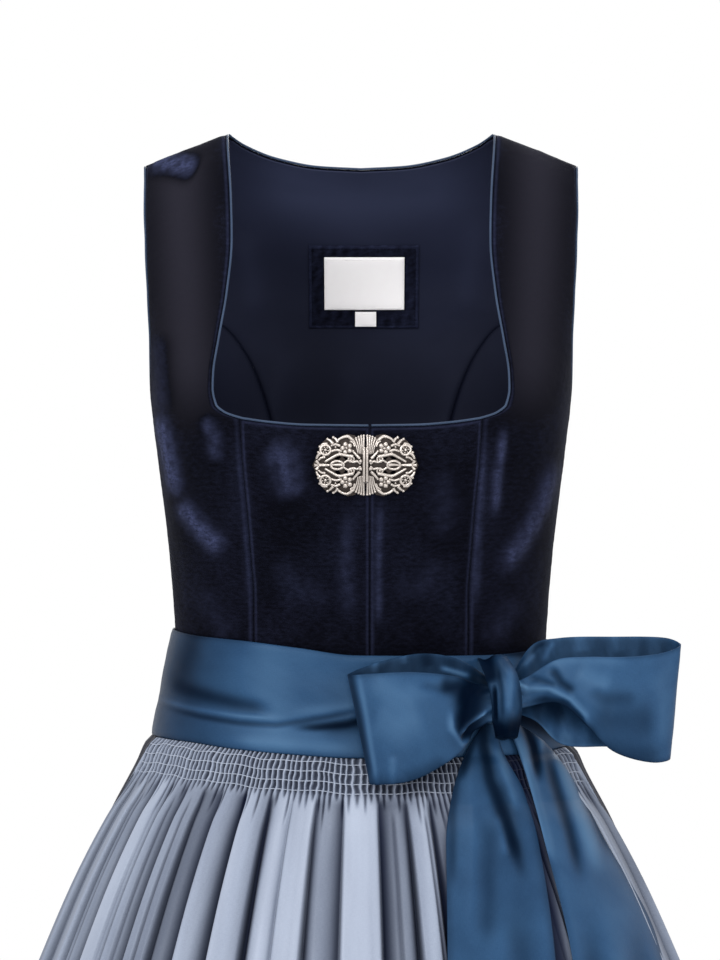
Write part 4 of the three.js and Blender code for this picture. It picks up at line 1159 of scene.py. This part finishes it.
# Waistband and the tie round the back: a soft broad sash with creases along it
# The tones paint shade into the creases, under the bow and over the band's left end, and light
# onto the ridges
BAND_STROKES = (
    (((-128, -330), (-128, -450)), 34, 0, -0.5),
    (((-68, -336), (-64, -385), (-54, -440)), 17, 0.3, 0.3),
    (((-112, -340), (-122, -370), (-130, -400)), 9, -0.4, -0.5),
    (((-136, -388), (-112, -394), (-88, -399), (-56, -404)), 5, -0.8, -0.75),
    (((-150, -398), (-118, -404), (-84, -408), (-50, -410)), 1.9, 0.8, 0.35),
    (((-146, -403), (-112, -409), (-84, -412.5), (-58, -413.5), (-24, -408), (14, -401)),
     2.0, -0.8, -0.65),
    (((-52, -407), (-14, -402), (26, -394)), 3.6, 0.7, 0.2),
    (((-52, -415), (-30, -414.5), (-10, -412.5), (8, -408), (26, -402), (50, -390)),
     2.4, -1.4, -1.4),
    (((-30, -417), (0, -413.5), (30, -408)), 4.5, -0.4, -0.5),
    (((-104, -343), (-60, -352), (-10, -358), (30, -362)), 4, 0.3, 0.25),
    (((-100, -424), (-50, -427), (10, -428)), 4, 0.5, 0.25),
    (((50, -354), (74, -359), (96, -364)), 3.5, -0.8, -1.0),
    (((90, -362), (112, -366), (140, -360)), 4, -0.6, -1.2),
    (((104, -372), (124, -382), (144, -398)), 4, -1.0, -0.8),
    (((98, -402), (126, -414), (156, -424)), 8, -0.4, -1.9),
)
# Painted shade in the creases of the tie and painted light on its ridge
TIE_STROKES = (
    (((-120, -372), (-60, -380), (0, -376), (60, -384), (118, -376)), 5, -1.0, -0.5),
    (((-110, -398), (-50, -402), (10, -396), (70, -404), (124, -396)), 5, 1.0, 0.15),
    (((-90, -412), (-20, -410), (50, -414)), 4, -0.9, -0.4),
)


def sash(name, start, end, columns, rows):
    """A stretch of the sash round the waist, between two angles."""
    height, turn = grid(np.linspace(0, 1, 57), np.linspace(0, 1, columns))
    angle = mix(start, end, turn)
    angle = wrapped(angle)
    base = band_point(angle, height, look(BAND_RELIEF, "relief", height) * 0.6)
    out = normals(base, away(base))
    folds, tone = strokes(base, rows)
    folds += 0.2 * ripple(base * (0.6, 0.6, 1.4), 34, 61)
    edges = edge_roll(base, ("low", "top"))
    relief = folds * (1 - 0.7 * edges) - 0.5 * edges
    outer = base + out * np.maximum(relief, -1.0)[..., None]
    inner = (base - out * (SATIN - 0.1))[::2, ::2]
    # Random ripples of tone, and painted shade where the edges roll under
    tone += 0.10 * ripple(base, 46, 62) - 0.25 * edges
    made = cloth(name + "_cloth", outer, inner, satin, shade=soft(tone))
    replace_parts(made, name)


sash("waistband_front", -BAND_FRONT_ANGLE, BAND_FRONT_ANGLE, 261, BAND_STROKES)
sash("tie_round_back", BAND_FRONT_ANGLE + 0.3, 360 - BAND_FRONT_ANGLE - 0.3, 201, TIE_STROKES)


# Bow
LOOP_ROWS, LOOP_COLUMNS, TAIL_COLUMNS = 210, 61, 71


def catmull_rom(points, at):
    """A centripetal Catmull-Rom curve through points, at shares of its number of spans."""
    points = np.asarray(points, float)
    ends = (2 * points[0] - points[1], 2 * points[-1] - points[-2])
    padded = np.vstack([ends[0], points, ends[1]])
    place = np.clip(np.asarray(at, float), 0, 1) * (len(points) - 1)
    k = np.minimum(place.astype(int), len(points) - 2)
    w = (place - k)[:, None]
    p0, p1, p2, p3 = (padded[k + j] for j in range(4))
    d0, d1, d2 = (np.sqrt(np.linalg.norm(b - a, axis=1))[:, None]
                  for a, b in ((p0, p1), (p1, p2), (p2, p3)))
    d1 = np.where(d1 < 1e-4, 1, d1)
    d0, d2 = np.where(d0 < 1e-4, d1, d0), np.where(d2 < 1e-4, d1, d2)
    t1 = ((p1 - p0) / d0 - (p2 - p0) / (d0 + d1) + (p2 - p1) / d1) * d1
    t2 = ((p2 - p1) / d1 - (p3 - p1) / (d1 + d2) + (p3 - p2) / d2) * d1
    c2 = -3 * p1 + 3 * p2 - 2 * t1 - t2
    c3 = 2 * p1 - 2 * p2 + t1 + t2
    return p1 + t1 * w + c2 * w ** 2 + c3 * w ** 3


def ribbon(name, stations, rows, columns, outward, relief):
    """A strip of satin through stations that each give its two edges. outward says which side of
    it faces away from the dress; relief gives the height and the tones of both of its faces, and
    the tones paint light and shade into them."""
    stations = np.asarray(stations, float)
    t = np.linspace(0, 1, rows)
    upper, lower = catmull_rom(stations[:, 0:3], t), catmull_rom(stations[:, 3:6], t)
    bulge = np.interp(t * (len(stations) - 1), np.arange(len(stations)), stations[:, 6])
    w = np.linspace(0, 1, columns)
    base = upper[:, None] + (lower - upper)[:, None] * w[None, :, None]
    base[..., 1] -= bulge[:, None] * np.sin(math.pi * w)[None, :]
    face = face_normals(base) * outward
    height, tone, inside = relief(*np.meshgrid(t, w, indexing="ij"), base)
    height += SATIN if outward > 0 else 0
    outer = base + face * height[..., None]
    inner = outer - face * SATIN * 0.75
    made = cloth(name + "_cloth", outer, inner, satin,
                 shade=soft(tone), lining=soft(inside))
    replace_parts(made, name)


# The hollow by the knot with its lit fold, the strip where the loop turns, and soft light
# The tones paint shade into the hollow and the turned strip and light onto the folds
LOOP_RIGHT_FRONT = (
    (((84, -374), (76, -394), (73.5, -408), (76, -430)), 8.8, -5.5, -2.0),
    (((66, -420), (74, -412), (81, -406), (87, -401)), 1.6, 3.0, 1.5),
    (((60, -398), (61, -414), (68, -424), (79, -420), (88, -411)), 2.4, 1.4, 0.8),
    (((76, -420), (83, -414), (88, -409)), 1.2, -1.0, -0.9),
    (((-11, -362), (-2, -406), (8, -462)), 2.9, -0.8, -1.7),
    (((-4, -366), (4, -406), (13, -462)), 1.8, 0.5, 0.45),
    (((76, -390), (66, -386), (52, -384)), 5, -0.8, -0.5),
    (((2, -386), (30, -390), (58, -384)), 9, 0.8, 0.22),
    (((6, -404), (24, -412), (46, -406)), 14, 0.6, 0.25),
    (((21, -430), (21.5, -456)), 3, 0.6, 0.3),
    (((74, -382), (56, -388), (36, -384)), 3.2, -0.7, -0.35),
    (((60, -434), (40, -444), (24, -449)), 5, -0.5, -0.4),
    (((30, -448), (14, -452), (6, -446)), 6, -0.4, -0.4),
    (((52, -380), (66, -392), (70, -400)), 5, -0.3, -0.4),
)
# Painted light and shade on the inside of the loop's back layer
LOOP_RIGHT_INSIDE = (
    (((6, -372), (12, -368), (18, -366)), 4, 0, 0.25),
    (((52, -373), (64, -376.5), (77, -380.5)), 1.9, 0, 1.3),
    (((28, -362), (30, -372)), 3, 0, 0.45),
    (((10, -368), (9, -378)), 2.4, 0, 0.35),
    (((44, -362), (46, -374)), 4, 0, -0.4),
)

# The rim that rolls out over the open eye of the loop, the shade below it and a soft dent
# The tones paint a highlight on the rim and shade below it and over the loop's lower part
LOOP_LEFT_FRONT = (
    (((106, -392), (116, -389), (128, -388), (142, -395), (152, -406), (156, -420)),
     2.2, 1.6, 0.6),
    (((110, -399), (125, -396), (137, -398), (147, -406), (154, -415), (163, -424)),
     3.4, -1.0, -1.0),
    (((101, -380), (108, -385), (115, -389)), 1.3, 1.2, 1.0),
    (((103, -387), (110, -394)), 2, -1.2, -0.8),
    (((112, -380), (124, -383), (134, -387)), 2.4, -0.8, -0.45),
    (((128, -372), (136, -384), (146, -391)), 3.0, -1.4, -0.8),
    (((118, -373), (140, -367), (186, -368)), 4.5, 0.5, 0.3),
    (((146, -374), (160, -383), (172, -386)), 7, 0.9, 0.3),
    (((152, -388), (168, -394), (190, -394)), 5, -0.6, -0.35),
    (((152, -404), (174, -410), (206, -410)), 13, -0.5, -0.45),
    (((150, -428), (180, -432), (210, -436)), 8, -0.5, -0.5),
    (((198, -372), (208, -396), (204, -428)), 8, 0.9, 0.15),
)
# Painted light and shade on the inside of the loop's back layer
LOOP_LEFT_INSIDE = (
    (((118, -368), (122, -361), (128, -356)), 2, 0, -0.5),
    (((125, -372), (129, -363), (134, -356)), 2, 0, 0.55),
    (((112, -376), (118, -368), (124, -360)), 1.5, 0, 0.5),
    (((150, -352), (152, -366)), 6, 0, 0.45),
    (((175, -352), (178, -366)), 5, 0, 0.25),
    (((120, -416), (136, -422), (160, -424)), 8, 0, 0.55),
    (((114, -398), (126, -400), (144, -408)), 7, 0, -0.6),
)


def loop_relief(front_rows, inside_rows, pleat, turned, seed, ground, shadow):
    """Pleats that leave the knot and fade, then the strokes, up to where the loop has turned.
    ground is the tone of its front, and its inside lies in its own shadow."""
    high, count, offset = pleat

    def relief(t, w, base):
        root, rim = at_ends(t, 0.10), at_ends(w, 0.03)
        pleats = high * np.cos(2 * math.pi * (count * w + offset)) * root
        front = 1 - smooth(*turned, t)
        folds, tone = strokes(base, front_rows)
        height = pleats + folds * front + 0.2 * ripple(base, 34, seed)
        # Painted light and shade from the strokes, a little along the pleats, and random ripples;
        # painted shade along the front's rims and painted light along the inside's
        tone = tone * front + ground + 0.12 * pleats * root + 0.05 * ripple(base, 25, seed + 1)
        inside = shadow + strokes(base, inside_rows)[1]
        inside += 0.2 * ripple(base * (1, 1, 0.3), 12, seed + 2)
        return height, tone - 0.3 * rim, inside + 0.3 * rim

    return relief


# Creases of the knot with painted shade, and ridges with painted highlight
KNOT_STROKES = (
    (((84, -356), (86, -370), (89, -386)), 5.0, -1.4, -1.5),
    (((101, -370), (101, -388), (99, -408)), 3.6, 1.3, 0.55),
    (((90.5, -384), (91.4, -412)), 1.3, -2.2, -1.5),
    (((70, -410), (98, -417), (126, -410)), 7.0, -0.8, -1.6),
    (((82, -376), (86.5, -390), (89, -408)), 1.8, -0.6, -0.6),
    (((92, -370), (95, -388), (96, -410)), 1.5, -0.7, -0.4),
    (((106, -384), (107.5, -398), (106, -410)), 2.0, 0.6, -0.25),
)


def knot_relief(t, w, base):
    folds, tone = strokes(base, KNOT_STROKES)
    roll = at_ends(w, 0.1)
    height = folds + 0.5 * np.cos(2 * math.pi * (1.5 * w + 0.4 * t)) - 0.8 * roll
    # Painted shade over the whole knot, more at its rolled edges, and deeper on its inside
    return height, tone - 0.38 - 0.25 * roll + 0.1 * ripple(base, 14, 91), tone * 0 - 0.8


# Folds that open from the knot, with the drop-shaped hollow where each tail turns
# The tones paint shade into the folds and the hollow and light onto the ridges
TAIL_RIGHT_STROKES = (
    (((86, -392), (83.5, -426), (88, -450), (98, -478), (112, -520)), 4.0, -2.6, -1.1),
    (((84, -404), (80, -416), (74, -430), (66, -452)), 3.0, -0.8, -0.9),
    (((94, -446), (100, -474), (106, -504)), 6, -1.2, -0.4),
    (((79, -424), (75, -450), (76, -484), (74, -560)), 5, 1.8, 0.08),
    (((90, -424), (98, -444), (108, -474)), 3.2, 1.6, 0.45),
    (((92, -470), (96, -484), (98, -500)), 3.0, 1.0, 0.4),
    (((87, -470), (86, -500), (84, -560)), 6, -1.0, -0.35),
    (((67, -440), (62, -470), (61, -520)), 3, -0.6, -0.45),
    (((104, -500), (108, -600), (112, -770)), 9, -2.2, -0.3),
    (((78, -560), (80, -660), (84, -770)), 8, -2.0, -0.25),
    (((92, -520), (96, -640), (98, -770)), 9, 2.2, 0.2),
    (((124, -500), (128, -620), (130, -770)), 8, 1.8, 0.2),
)
TAIL_LEFT_STROKES = (
    (((104, -392), (113, -414), (119, -430), (123, -456)), 3.2, -2.8, -1.7),
    (((106, -412), (110, -428), (117, -456), (130, -510)), 3.6, 1.8, 0.7),
    (((121, -404), (125, -420), (124, -436)), 2.4, 1.2, 0.5),
    (((126, -426), (133, -452), (142, -484), (150, -520)), 4.0, -2.0, -0.9),
    (((132, -424), (146, -462), (164, -516)), 5.0, 1.6, 0.75),
    (((146, -448), (158, -474), (172, -506)), 3.2, -1.0, -0.4),
    (((112, -432), (120, -462), (129, -500)), 1.5, -0.3, -0.3),
    (((150, -520), (164, -640), (170, -780)), 9, -2.2, -0.45),
    (((184, -530), (198, -660), (206, -780)), 9, -2.0, -0.4),
    (((134, -520), (150, -640), (158, -780)), 9, 2.0, 0.2),
    (((168, -530), (184, -650), (190, -780)), 9, 2.0, 0.2),
    (((198, -540), (216, -660), (226, -780)), 8, 1.6, 0.1),
)


def tail(name, source, columns, rows, seed, lift):
    """A tail of the bow, lying over the apron, a little rounded between its two edges."""
    low, high = source["key"][[0, -1]]
    z, w = grid(-runs((-high, 500, 81), (502, -low, 70)), np.linspace(0, 1, columns))
    x = mix(look(source, "inner", z), look(source, "outer", z), w)
    rest = front_depth(x, z) - look(source, "off", z) - SATIN
    base = np.stack([x, rest, z], -1)
    folds, tone = strokes(base, rows)
    edge = at_ends(w, 0.05)
    height = 1.9 * np.sin(math.pi * w) ** 0.5 + folds - 0.5 * edge + 0.3 * ripple(base, 40, seed)
    outer = base - np.array([0, 1, 0]) * np.maximum(height, -0.2)[..., None]
    inner = (outer + np.array([0, SATIN * 0.75, 0]))[::2, ::2]
    # Random ripples of tone, with painted shade along the edges and over the underside
    tone += 0.06 * ripple(base, 30, seed + 1) - 0.3 * edge
    made = cloth(name + "_cloth", outer, inner, satin,
                 shade=soft(tone + lift), lining=-0.5 + 0 * tone[::2, ::2])
    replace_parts(made, name)


# The last two numbers paint each loop's front in an even tone and its inside in shade
right_relief = loop_relief(
    LOOP_RIGHT_FRONT, LOOP_RIGHT_INSIDE, (1.2, 2.6, 0.35), (0.42, 0.55), 71, -0.07, -0.82)
left_relief = loop_relief(
    LOOP_LEFT_FRONT, LOOP_LEFT_INSIDE, (1.1, 2.4, 0.1), (0.48, 0.6), 81, 0, -0.5)
ribbon("bow_loop_right", LOOP_RIGHT_HAND, LOOP_ROWS, LOOP_COLUMNS, 1, right_relief)
ribbon("bow_loop_left", LOOP_LEFT_HAND, LOOP_ROWS, LOOP_COLUMNS, -1, left_relief)
ribbon("bow_knot", KNOT, 90, 60, 1, knot_relief)
# The last number is each tail's even painted tone: shade on the right-hand tail, light on the
# left-hand one
tail("bow_tail_right", TAIL_RIGHT_HAND, TAIL_COLUMNS, TAIL_RIGHT_STROKES, 91, -0.12)
tail("bow_tail_left", TAIL_LEFT_HAND, TAIL_COLUMNS, TAIL_LEFT_STROKES, 93, 0.04)


# Clasp: cast scrolls, flowers and flutes that stand on the openwork plate of each half
CLASP_LIFT = SEAM_GAP + 1.2
CLASP_PLATE = 1.8
CLASP_STAND = 0.05
CLASP_SIDES = 8
CAST_UP = (0, 1, 0.01)


def on_front(x, z, up):
    """Points over the bodice front round the clasp, standing up mm off its seat."""
    px, pz = CLASP_CENTRE_X + np.asarray(x, float), CLASP_CENTRE_Z + np.asarray(z, float)
    face = body_point(angle_of(px, pz), pz, 1)[..., 1]
    return np.stack([px, face - CLASP_LIFT - up, pz], -1)


def crest(points, middle, radius):
    """How far points of a round thing face the viewer: 1 on its crest, 0 at its foot."""
    # The casting's tone: on the crest wear and a painted highlight, at the foot patina and painted
    # shade
    return np.clip(0.42 + 0.6 * (middle[:, 1] - points[:, 1]) / radius, 0, 1) ** 1.5


def cast(path, sizes, closed):
    """A round line of the casting, with its tone."""
    made, faces = tube_parts(path, sizes, CLASP_SIDES, closed, CAST_UP)
    middle, radius = np.repeat(path, CLASP_SIDES, 0), np.repeat(sizes, CLASP_SIDES)
    return made, faces, crest(made, middle, radius)


def wire(points, radius, lift=0.0):
    """A cast line through 2-D points that narrows from the first radius to the second."""
    points = np.asarray(points, float)
    count = max(9, 6 * (len(points) - 1))
    fine = catmull_rom(np.column_stack([points, 0 * points[:, 0]]), np.linspace(0, 1, count))
    sizes = mix(radius[0], radius[1], np.linspace(0, 1, count))
    path = on_front(fine[:, 0], fine[:, 1], CLASP_PLATE + CLASP_STAND + lift + 0.6 * sizes)
    return cast(path, sizes, False)


BEAD_DEPTH = 0.85


def bead(x, z, radius, lift=0.0):
    """A round bead, a little flattened from front to back."""
    a, b = grid(np.linspace(-math.pi / 2, math.pi / 2, 8)[1:-1],
                np.arange(CLASP_SIDES) / CLASP_SIDES * 2 * math.pi)
    up = CLASP_PLATE + CLASP_STAND + lift + 0.7 * radius
    sides = on_front(x + radius * np.cos(a) * np.cos(b), z + radius * np.cos(a) * np.sin(b), 0)
    sides[..., 1] -= up + BEAD_DEPTH * radius * np.sin(a)
    poles = on_front([x, x], [z, z], 0)
    poles[:, 1] -= up + BEAD_DEPTH * radius * np.array([-1, 1])
    numbers = np.arange(a.size).reshape(a.shape)
    numbers = np.concatenate([numbers, numbers[:, :1]], 1)
    faces = skin(numbers)
    for row, pole in ((numbers[0], a.size), (numbers[-1, ::-1], a.size + 1)):
        faces += [[int(row[k + 1]), int(row[k]), pole] for k in range(CLASP_SIDES)]
    points = np.concatenate([sides.reshape(-1, 3), poles])
    # The bead's tone: light on its front, partly wear and partly a painted highlight, dark towards
    # its back, partly patina and partly painted shade
    tone = np.concatenate([(0.5 + 0.5 * np.sin(a)).ravel(), [0, 1]]) ** 1.8
    return points, faces, tone


def ring(x, z, wide, high, radius, lift=0.0):
    """A closed ring, round or almond-shaped."""
    turn = np.linspace(0, 2 * math.pi, 17)[:-1]
    path = on_front(x + wide * np.cos(turn), z + high * np.sin(turn),
                    CLASP_PLATE + CLASP_STAND + lift + 0.6 * radius)
    return cast(path, np.full(len(path), radius), True)


# Lines of one quarter, out from the split and up from the middle, with their two radii
CLASP_LINES = (
    (((8.4, 16.6), (12, 19.2), (16.4, 18.2), (19.6, 15.6)), (1.35, 0.9)),
    (((18.6, 15.4), (19.8, 17.2), (21.4, 18.6)), (1.35, 0.7)),
    (((21.8, 14.2), (23.6, 16.2), (25.4, 17.4)), (1.4, 0.7)),
    (((25.6, 14.2), (28.4, 14.2), (30.6, 12.4)), (1.1, 0.7)),
    (((8.2, 5.6), (13, 6.6), (18, 7.2), (22.6, 5.0), (27.4, 2.2)), (1.4, 0.9)),
    (((3.8, 4.4), (6, 6.6), (8.2, 9.0)), (1.2, 0.9)),
    (((15.8, 9.4), (19.6, 10.2), (23.2, 9.2)), (1.1, 0.9)),
    (((17.0, 12.8), (20.0, 14.0), (23.4, 13.0)), (1.15, 0.85)),
    (((7.4, 12.4), (8.2, 14.8), (10.4, 16.4)), (0.8, 0.8)),
    (((30.2, 8.2), (32.2, 6.2), (33.0, 4.2)), (1.25, 0.8)),
    (((27.0, 5.4), (29.6, 5.0), (31.8, 3.2)), (1.0, 0.8)),
    (((3.2, 0.8), (5.4, 2.6), (8.2, 2.0), (11.4, 3.2), (14.8, 1.4)), (1.0, 0.8)),
)
CLASP_RINGS = (
    (12.8, 11.4, 1.15, 1.15, 0.6), (27.0, 10.2, 3.4, 3.3, 1.05), (9.6, 3.9, 1.9, 1.8, 0.75),
)
CLASP_BEADS = (
    (12.8, 11.4, 1.0, 0.6), (27.0, 10.2, 1.2, 0.4), (21.6, 18.6, 1.1, 0), (25.6, 17.5, 1.05, 0),
    (30.8, 12.4, 1.05, 0), (17.6, 8.0, 0.9, 0.3), (9.6, 3.9, 0.9, 0), (8.3, 9.4, 1.0, 0),
    (31.8, 8.6, 1.0, 0), (20.2, 12.2, 0.8, 0), (3.4, 2.6, 1.4, 0.3),
)
# Wreaths of beads: middle, reach, size of a bead and how many
CLASP_WREATHS = ((12.8, 11.4, 2.7, 1.9, 5), (27.0, 10.2, 1.9, 0.75, 6))
CLASP_FLUTES = 5


def clasp_half(hand, name):
    """The cast lines, rings, wreaths and flutes of one half, the same above and below."""
    parts = []
    for end in (1, -1):
        for path, radius in CLASP_LINES:
            parts.append(wire(np.array(path) * (hand, end), radius))
        for x, z, wide, high, radius in CLASP_RINGS:
            parts.append(ring(hand * x, end * z, wide, high, radius))
        for x, z, radius, lift in CLASP_BEADS:
            parts.append(bead(hand * x, end * z, radius, lift))
        for x, z, reach, radius, count in CLASP_WREATHS:
            for turn in np.arange(count) / count * 2 * math.pi + 0.3:
                parts.append(bead(hand * (x + reach * math.sin(turn)),
                                  end * (z + reach * math.cos(turn)), radius, -0.2))
        for k in range(CLASP_FLUTES):
            share = k / (CLASP_FLUTES - 1)
            foot = (hand * mix(1.3, 5.0, share), end * mix(6.8, 7.6, share))
            tip = (hand * mix(1.2, 8.2, share), end * mix(19.8, 17.0, share ** 1.6))
            middle = ((foot[0] + tip[0]) / 2 - hand * 0.5 * share, (foot[1] + tip[1]) / 2)
            parts.append(wire((foot, middle, tip), (0.4, 0.86)))
            parts.append(bead(tip[0], tip[1], 0.98))
    parts.append(wire(((hand * 1.0, -12), (hand * 1.05, 0), (hand * 1.0, 12)), (1.0, 1.0), 0.2))
    parts.append(ring(hand * 19.0, 0, 4.4, 2.8, 0.95))
    parts.append(wire(((hand * 15.4, 0), (hand * 19, 0.2), (hand * 22.8, 0)), (1.3, 0.7), 0.1))
    parts.append(wire(((hand * 24.0, 0), (hand * 28, 0), (hand * 31.4, 0)), (0.9, 1.3)))
    for lobe in (-1, 0, 1):
        tip = (hand * mix(34.4, 33.2, abs(lobe)), 3.0 * lobe)
        parts.append(wire(((hand * 31.2, 0.6 * lobe), tip), (0.8, 1.4)))
    tone = np.concatenate([part[2] for part in parts])
    points, faces = joined([part[:2] for part in parts])
    build(name + "_openwork", points, faces, silver, points, tone)
    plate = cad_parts[name]
    plate.data.materials.clear()
    plate.data.materials.append(silver_ground)


clasp_half(1, "clasp_left")
clasp_half(-1, "clasp_right")


# Camera, light and floor
CAMERA_PLACE = (-0.0007, -2.5, -0.246)
SENSOR_WIDTH, FOCAL_LENGTH = 36, 132.05
FLOOR_LEVEL, FLOOR_RADIUS, FLOOR_CORNERS = -1.2, 2.2, 96
# Name, place, target, width and power of each light, in metres and watts
LIGHTS = (
    ("key", (-1.5, -2.4, 1.3), (0, 0, -0.35), 1.2, 40),
    ("fill", (2.2, -2.0, 0.2), (0, 0, -0.4), 1.6, 16),
    ("camera_side", (0.1, -2.7, 0.2), (0, 0, -0.2), 0.7, 16),
    ("top", (0.2, -0.6, 2.2), (0, 0, -0.3), 1.4, 24),
    ("back", (0.6, 2.6, 0.8), (0, 0, -0.4), 1.8, 40),
)


def camera():
    """Level, and looking straight at the front."""
    data = bpy.data.cameras.new("camera")
    data.sensor_fit = "AUTO"
    data.sensor_width = SENSOR_WIDTH
    data.lens = FOCAL_LENGTH
    made = placed("camera", data)
    made.location = CAMERA_PLACE
    made.rotation_euler = (math.pi / 2, 0, 0)
    bpy.context.scene.camera = made


def area_light(name, place, target, size, power):
    """A round soft light that faces its target."""
    data = bpy.data.lights.new(name, "AREA")
    data.shape = "DISK"
    data.size = size
    data.energy = power
    made = placed(name, data)
    made.location = place
    direction = np.array(target, float) - np.array(place, float)
    flat = math.hypot(direction[0], direction[1])
    made.rotation_euler = (math.atan2(flat, -direction[2]), 0,
                           math.atan2(direction[1], direction[0]) - math.pi / 2)


def floor():
    turn = np.arange(FLOOR_CORNERS) / FLOOR_CORNERS * 2 * math.pi
    rim = np.stack([FLOOR_RADIUS * np.cos(turn), FLOOR_RADIUS * np.sin(turn),
                    0 * turn + FLOOR_LEVEL], 1)
    mesh = bpy.data.meshes.new("floor")
    mesh.from_pydata(rim.tolist(), [], [list(range(FLOOR_CORNERS))])
    material, tree, shader = started("floor_paint", Roughness=0.9)[:3]
    place = make(tree, "ShaderNodeTexCoord").outputs["Object"]
    tone = noise(tree, place, 3.0, 2.0)
    colour = blend(tree, tone, rgba((0.80, 0.80, 0.80)), rgba((0.84, 0.84, 0.84)))
    tree.links.new(colour, shader.inputs["Base Color"])
    mesh.materials.append(material)
    placed("floor", mesh)


camera()
for light in LIGHTS:
    area_light(*light)
floor()
world = bpy.data.worlds.new("studio")
world.use_nodes = True
background = world.node_tree.nodes["Background"]
background.inputs["Color"].default_value = (1, 1, 1, 1)
background.inputs["Strength"].default_value = 1.0
bpy.context.scene.world = world
bpy.context.scene.view_settings.view_transform = "Standard"
